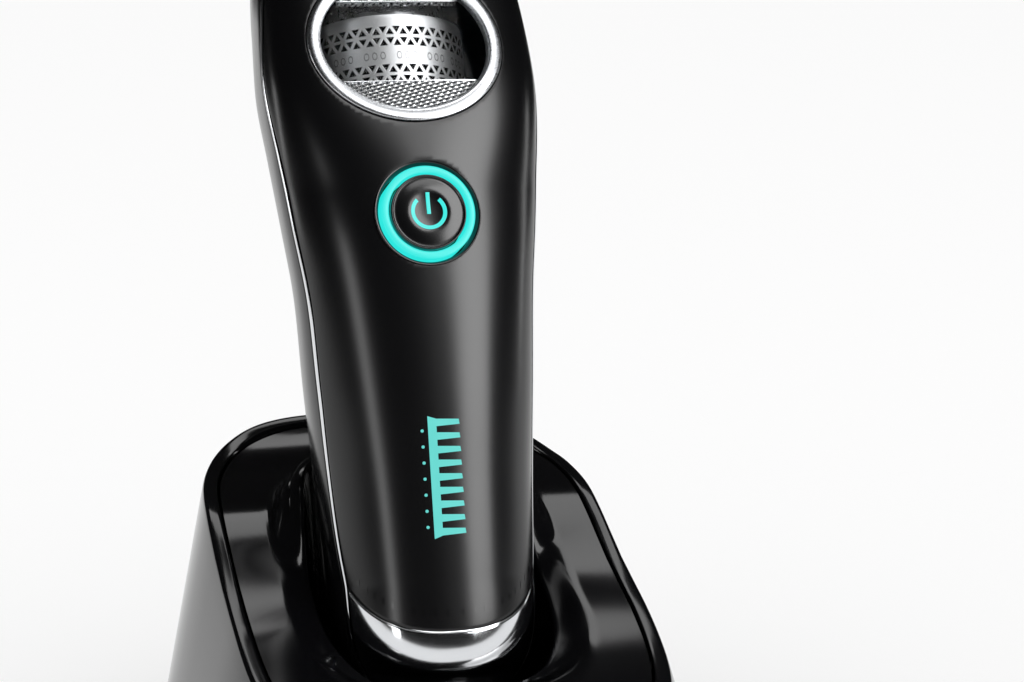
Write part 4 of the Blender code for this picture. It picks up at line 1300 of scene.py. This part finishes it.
deckCount = 35
deckSection = [(0, i) for i in range(deckCount)] + [(1, i) for i in reversed(range(deckCount))]
deck = layRing("dock_deck_fine", dock["around"], deckSection, deckPlace)
finishPiece(deck, dockSpace, "dock", "piano_black", ["dock_deck"], smooth=60)
print("dock laid")


# Finer copies of the frame's smaller pieces, with rounded edges

fineCopies = {
    # node: width of its rounded edge
    "fixed_blade": 0.12, "moving_blade": 0.1, "blade_bracket": 0.25,
    "blade_screw_left": 0.12, "blade_screw_right": 0.12,
    "drive_yoke": 0.3, "blade_carriage": 0.25, "taper_lever": 0.45, "lever_screw": 0.12, "lever_washer": 0.08,
    "lever_cam": 0.12, "shell_screw_lower": 0.12, "shell_screw_upper": 0.12,
    "bottom_cap": 0.3, "charge_port": 0.1,
    "charge_contact_front": 0.15, "charge_contact_rear": 0.15, "dock_base_plate": 0.4, "power_inlet": 0.12,
    "base_screw_1": 0.1, "base_screw_2": 0.1, "base_screw_3": 0.1, "base_screw_4": 0.1,
    "rubber_foot_1": 0.2, "rubber_foot_2": 0.2, "rubber_foot_3": 0.2, "rubber_foot_4": 0.2,
    "contact_block": 0.3, "motor_can": 0.3, "motor_endbell": 0.3,
}
for nodeName, edge in fineCopies.items():
    piece = bpy.data.objects.new(nodeName + "_fine", frame["nodes"][nodeName].data.copy())
    bpy.context.scene.collection.objects.link(piece)
    pick(piece)
    bpy.ops.object.mode_set(mode="EDIT")
    bpy.ops.mesh.select_all(action="SELECT")
    bpy.ops.mesh.remove_doubles(threshold=0.000001)
    bpy.ops.mesh.dissolve_limited(angle_limit=math.radians(1))
    bpy.ops.object.mode_set(mode="OBJECT")
    applyStep(
        piece,
        "BEVEL",
        width=edge * mm,
        segments=2,
        limit_method="ANGLE",
        angle_limit=math.radians(32),
        use_clamp_overlap=True,
    )
    finishPiece(piece, Matrix.Identity(4), nodeBody[nodeName], nodeSlot[nodeName], [nodeName], smooth=35)

for nodeName, piece in frame["nodes"].items():
    for slot in piece.material_slots:
        slot.link = "OBJECT"
        slot.material = finishes[nodeSlot[nodeName]]
print("small pieces refined:", len(fineCopies))


# Stage, light and camera

stage = {
    "size": 30,
    "colour": "#FFFFFF",
    "room": 1.0,  # how bright the white room is, and how much of it a gloss surface sees
    "roomInGloss": 0.015,
    "aim": (0, -0.006, 0.095),
    "focalLength": 85,
    "sensorWidth": 36,
    "viewFromButton": (-97.63, -391.21, 49.09),
    "viewTurn": (80, 0, -16),
}
deselectAll()
bpy.ops.mesh.primitive_plane_add(size=stage["size"], location=(0, 2.5, 0))
floor = bpy.context.object
floor.name = "floor"
floorLook = {"colour": stage["colour"], "shader": {"Roughness": 0.9, "Specular IOR Level": 0.1}}
floor.data.materials.append(newFinish("palePaper", floorLook)[0])

world = bpy.data.worlds.new("studio")
bpy.context.scene.world = world
world.use_nodes = True
skyTree = world.node_tree
skyTree.nodes.clear()
rays = addNode(skyTree, "ShaderNodeLightPath")
bright = addNode(skyTree, "ShaderNodeBackground", {"Color": (1, 1, 1, 1), "Strength": stage["room"]})
dim = addNode(skyTree, "ShaderNodeBackground", {"Color": (1, 1, 1, 1), "Strength": stage["roomInGloss"]})
mixed = addNode(
    skyTree,
    "ShaderNodeMixShader",
    {0: rays.outputs["Is Glossy Ray"], 1: bright.outputs[0], 2: dim.outputs[0]},
)
addNode(skyTree, "ShaderNodeOutputWorld", {"Surface": mixed.outputs[0]})

target = Vector(stage["aim"])
softboxes = {
    # turned right from the front, raised, distance, width, height, power
    "leftBox": (-44, 9, 1.1, 0.17, 0.46, 1.1),
    "rightBox": (37, 27, 1.1, 0.5, 0.98, 11.0),
    "highBox": (24, 62, 1.2, 0.5, 0.4, 2.5),
    "overheadBox": (160, 60, 1.2, 1.1, 0.24, 1.9),
    "leftEdgeStrip": (-112, 7, 1.0, 0.14, 0.3, 0.5),
    "rightEdgeStrip": (98, 7, 1.0, 0.1, 0.3, 0.35),
}
paper = bpy.data.collections.new("paper")
paper.objects.link(floor)
for name, (turn, rise, distance, width, height, power) in softboxes.items():
    turn, rise = math.radians(turn), math.radians(rise)
    away = Vector((math.sin(turn) * math.cos(rise), -math.cos(turn) * math.cos(rise), math.sin(rise)))
    light = bpy.data.lights.new(name, "AREA")
    light.shape = "RECTANGLE"
    light.size, light.size_y = width, height
    light.energy = power
    lamp = bpy.data.objects.new(name, light)
    bpy.context.scene.collection.objects.link(lamp)
    lamp.location = target + away * distance
    lamp.rotation_euler = (-away).to_track_quat("-Z", "Y").to_euler()
    lamp.visible_camera = False
    # the paper is lit by the white room alone, so it stays even
    lamp.light_linking.receiver_collection = paper
    paper.collection_objects[0].light_linking.link_state = "EXCLUDE"

camera = bpy.data.cameras.new("camera")
camera.lens = stage["focalLength"]
camera.sensor_width = stage["sensorWidth"]
camera.clip_start = 0.01
viewer = bpy.data.objects.new("camera", camera)
bpy.context.scene.collection.objects.link(viewer)
viewer.location = (buttonPlace + Vector(stage["viewFromButton"])) * mm
viewer.rotation_euler = [math.radians(turn) for turn in stage["viewTurn"]]
bpy.context.scene.camera = viewer
bpy.context.scene.view_settings.view_transform = "Standard"
print("stage lit")
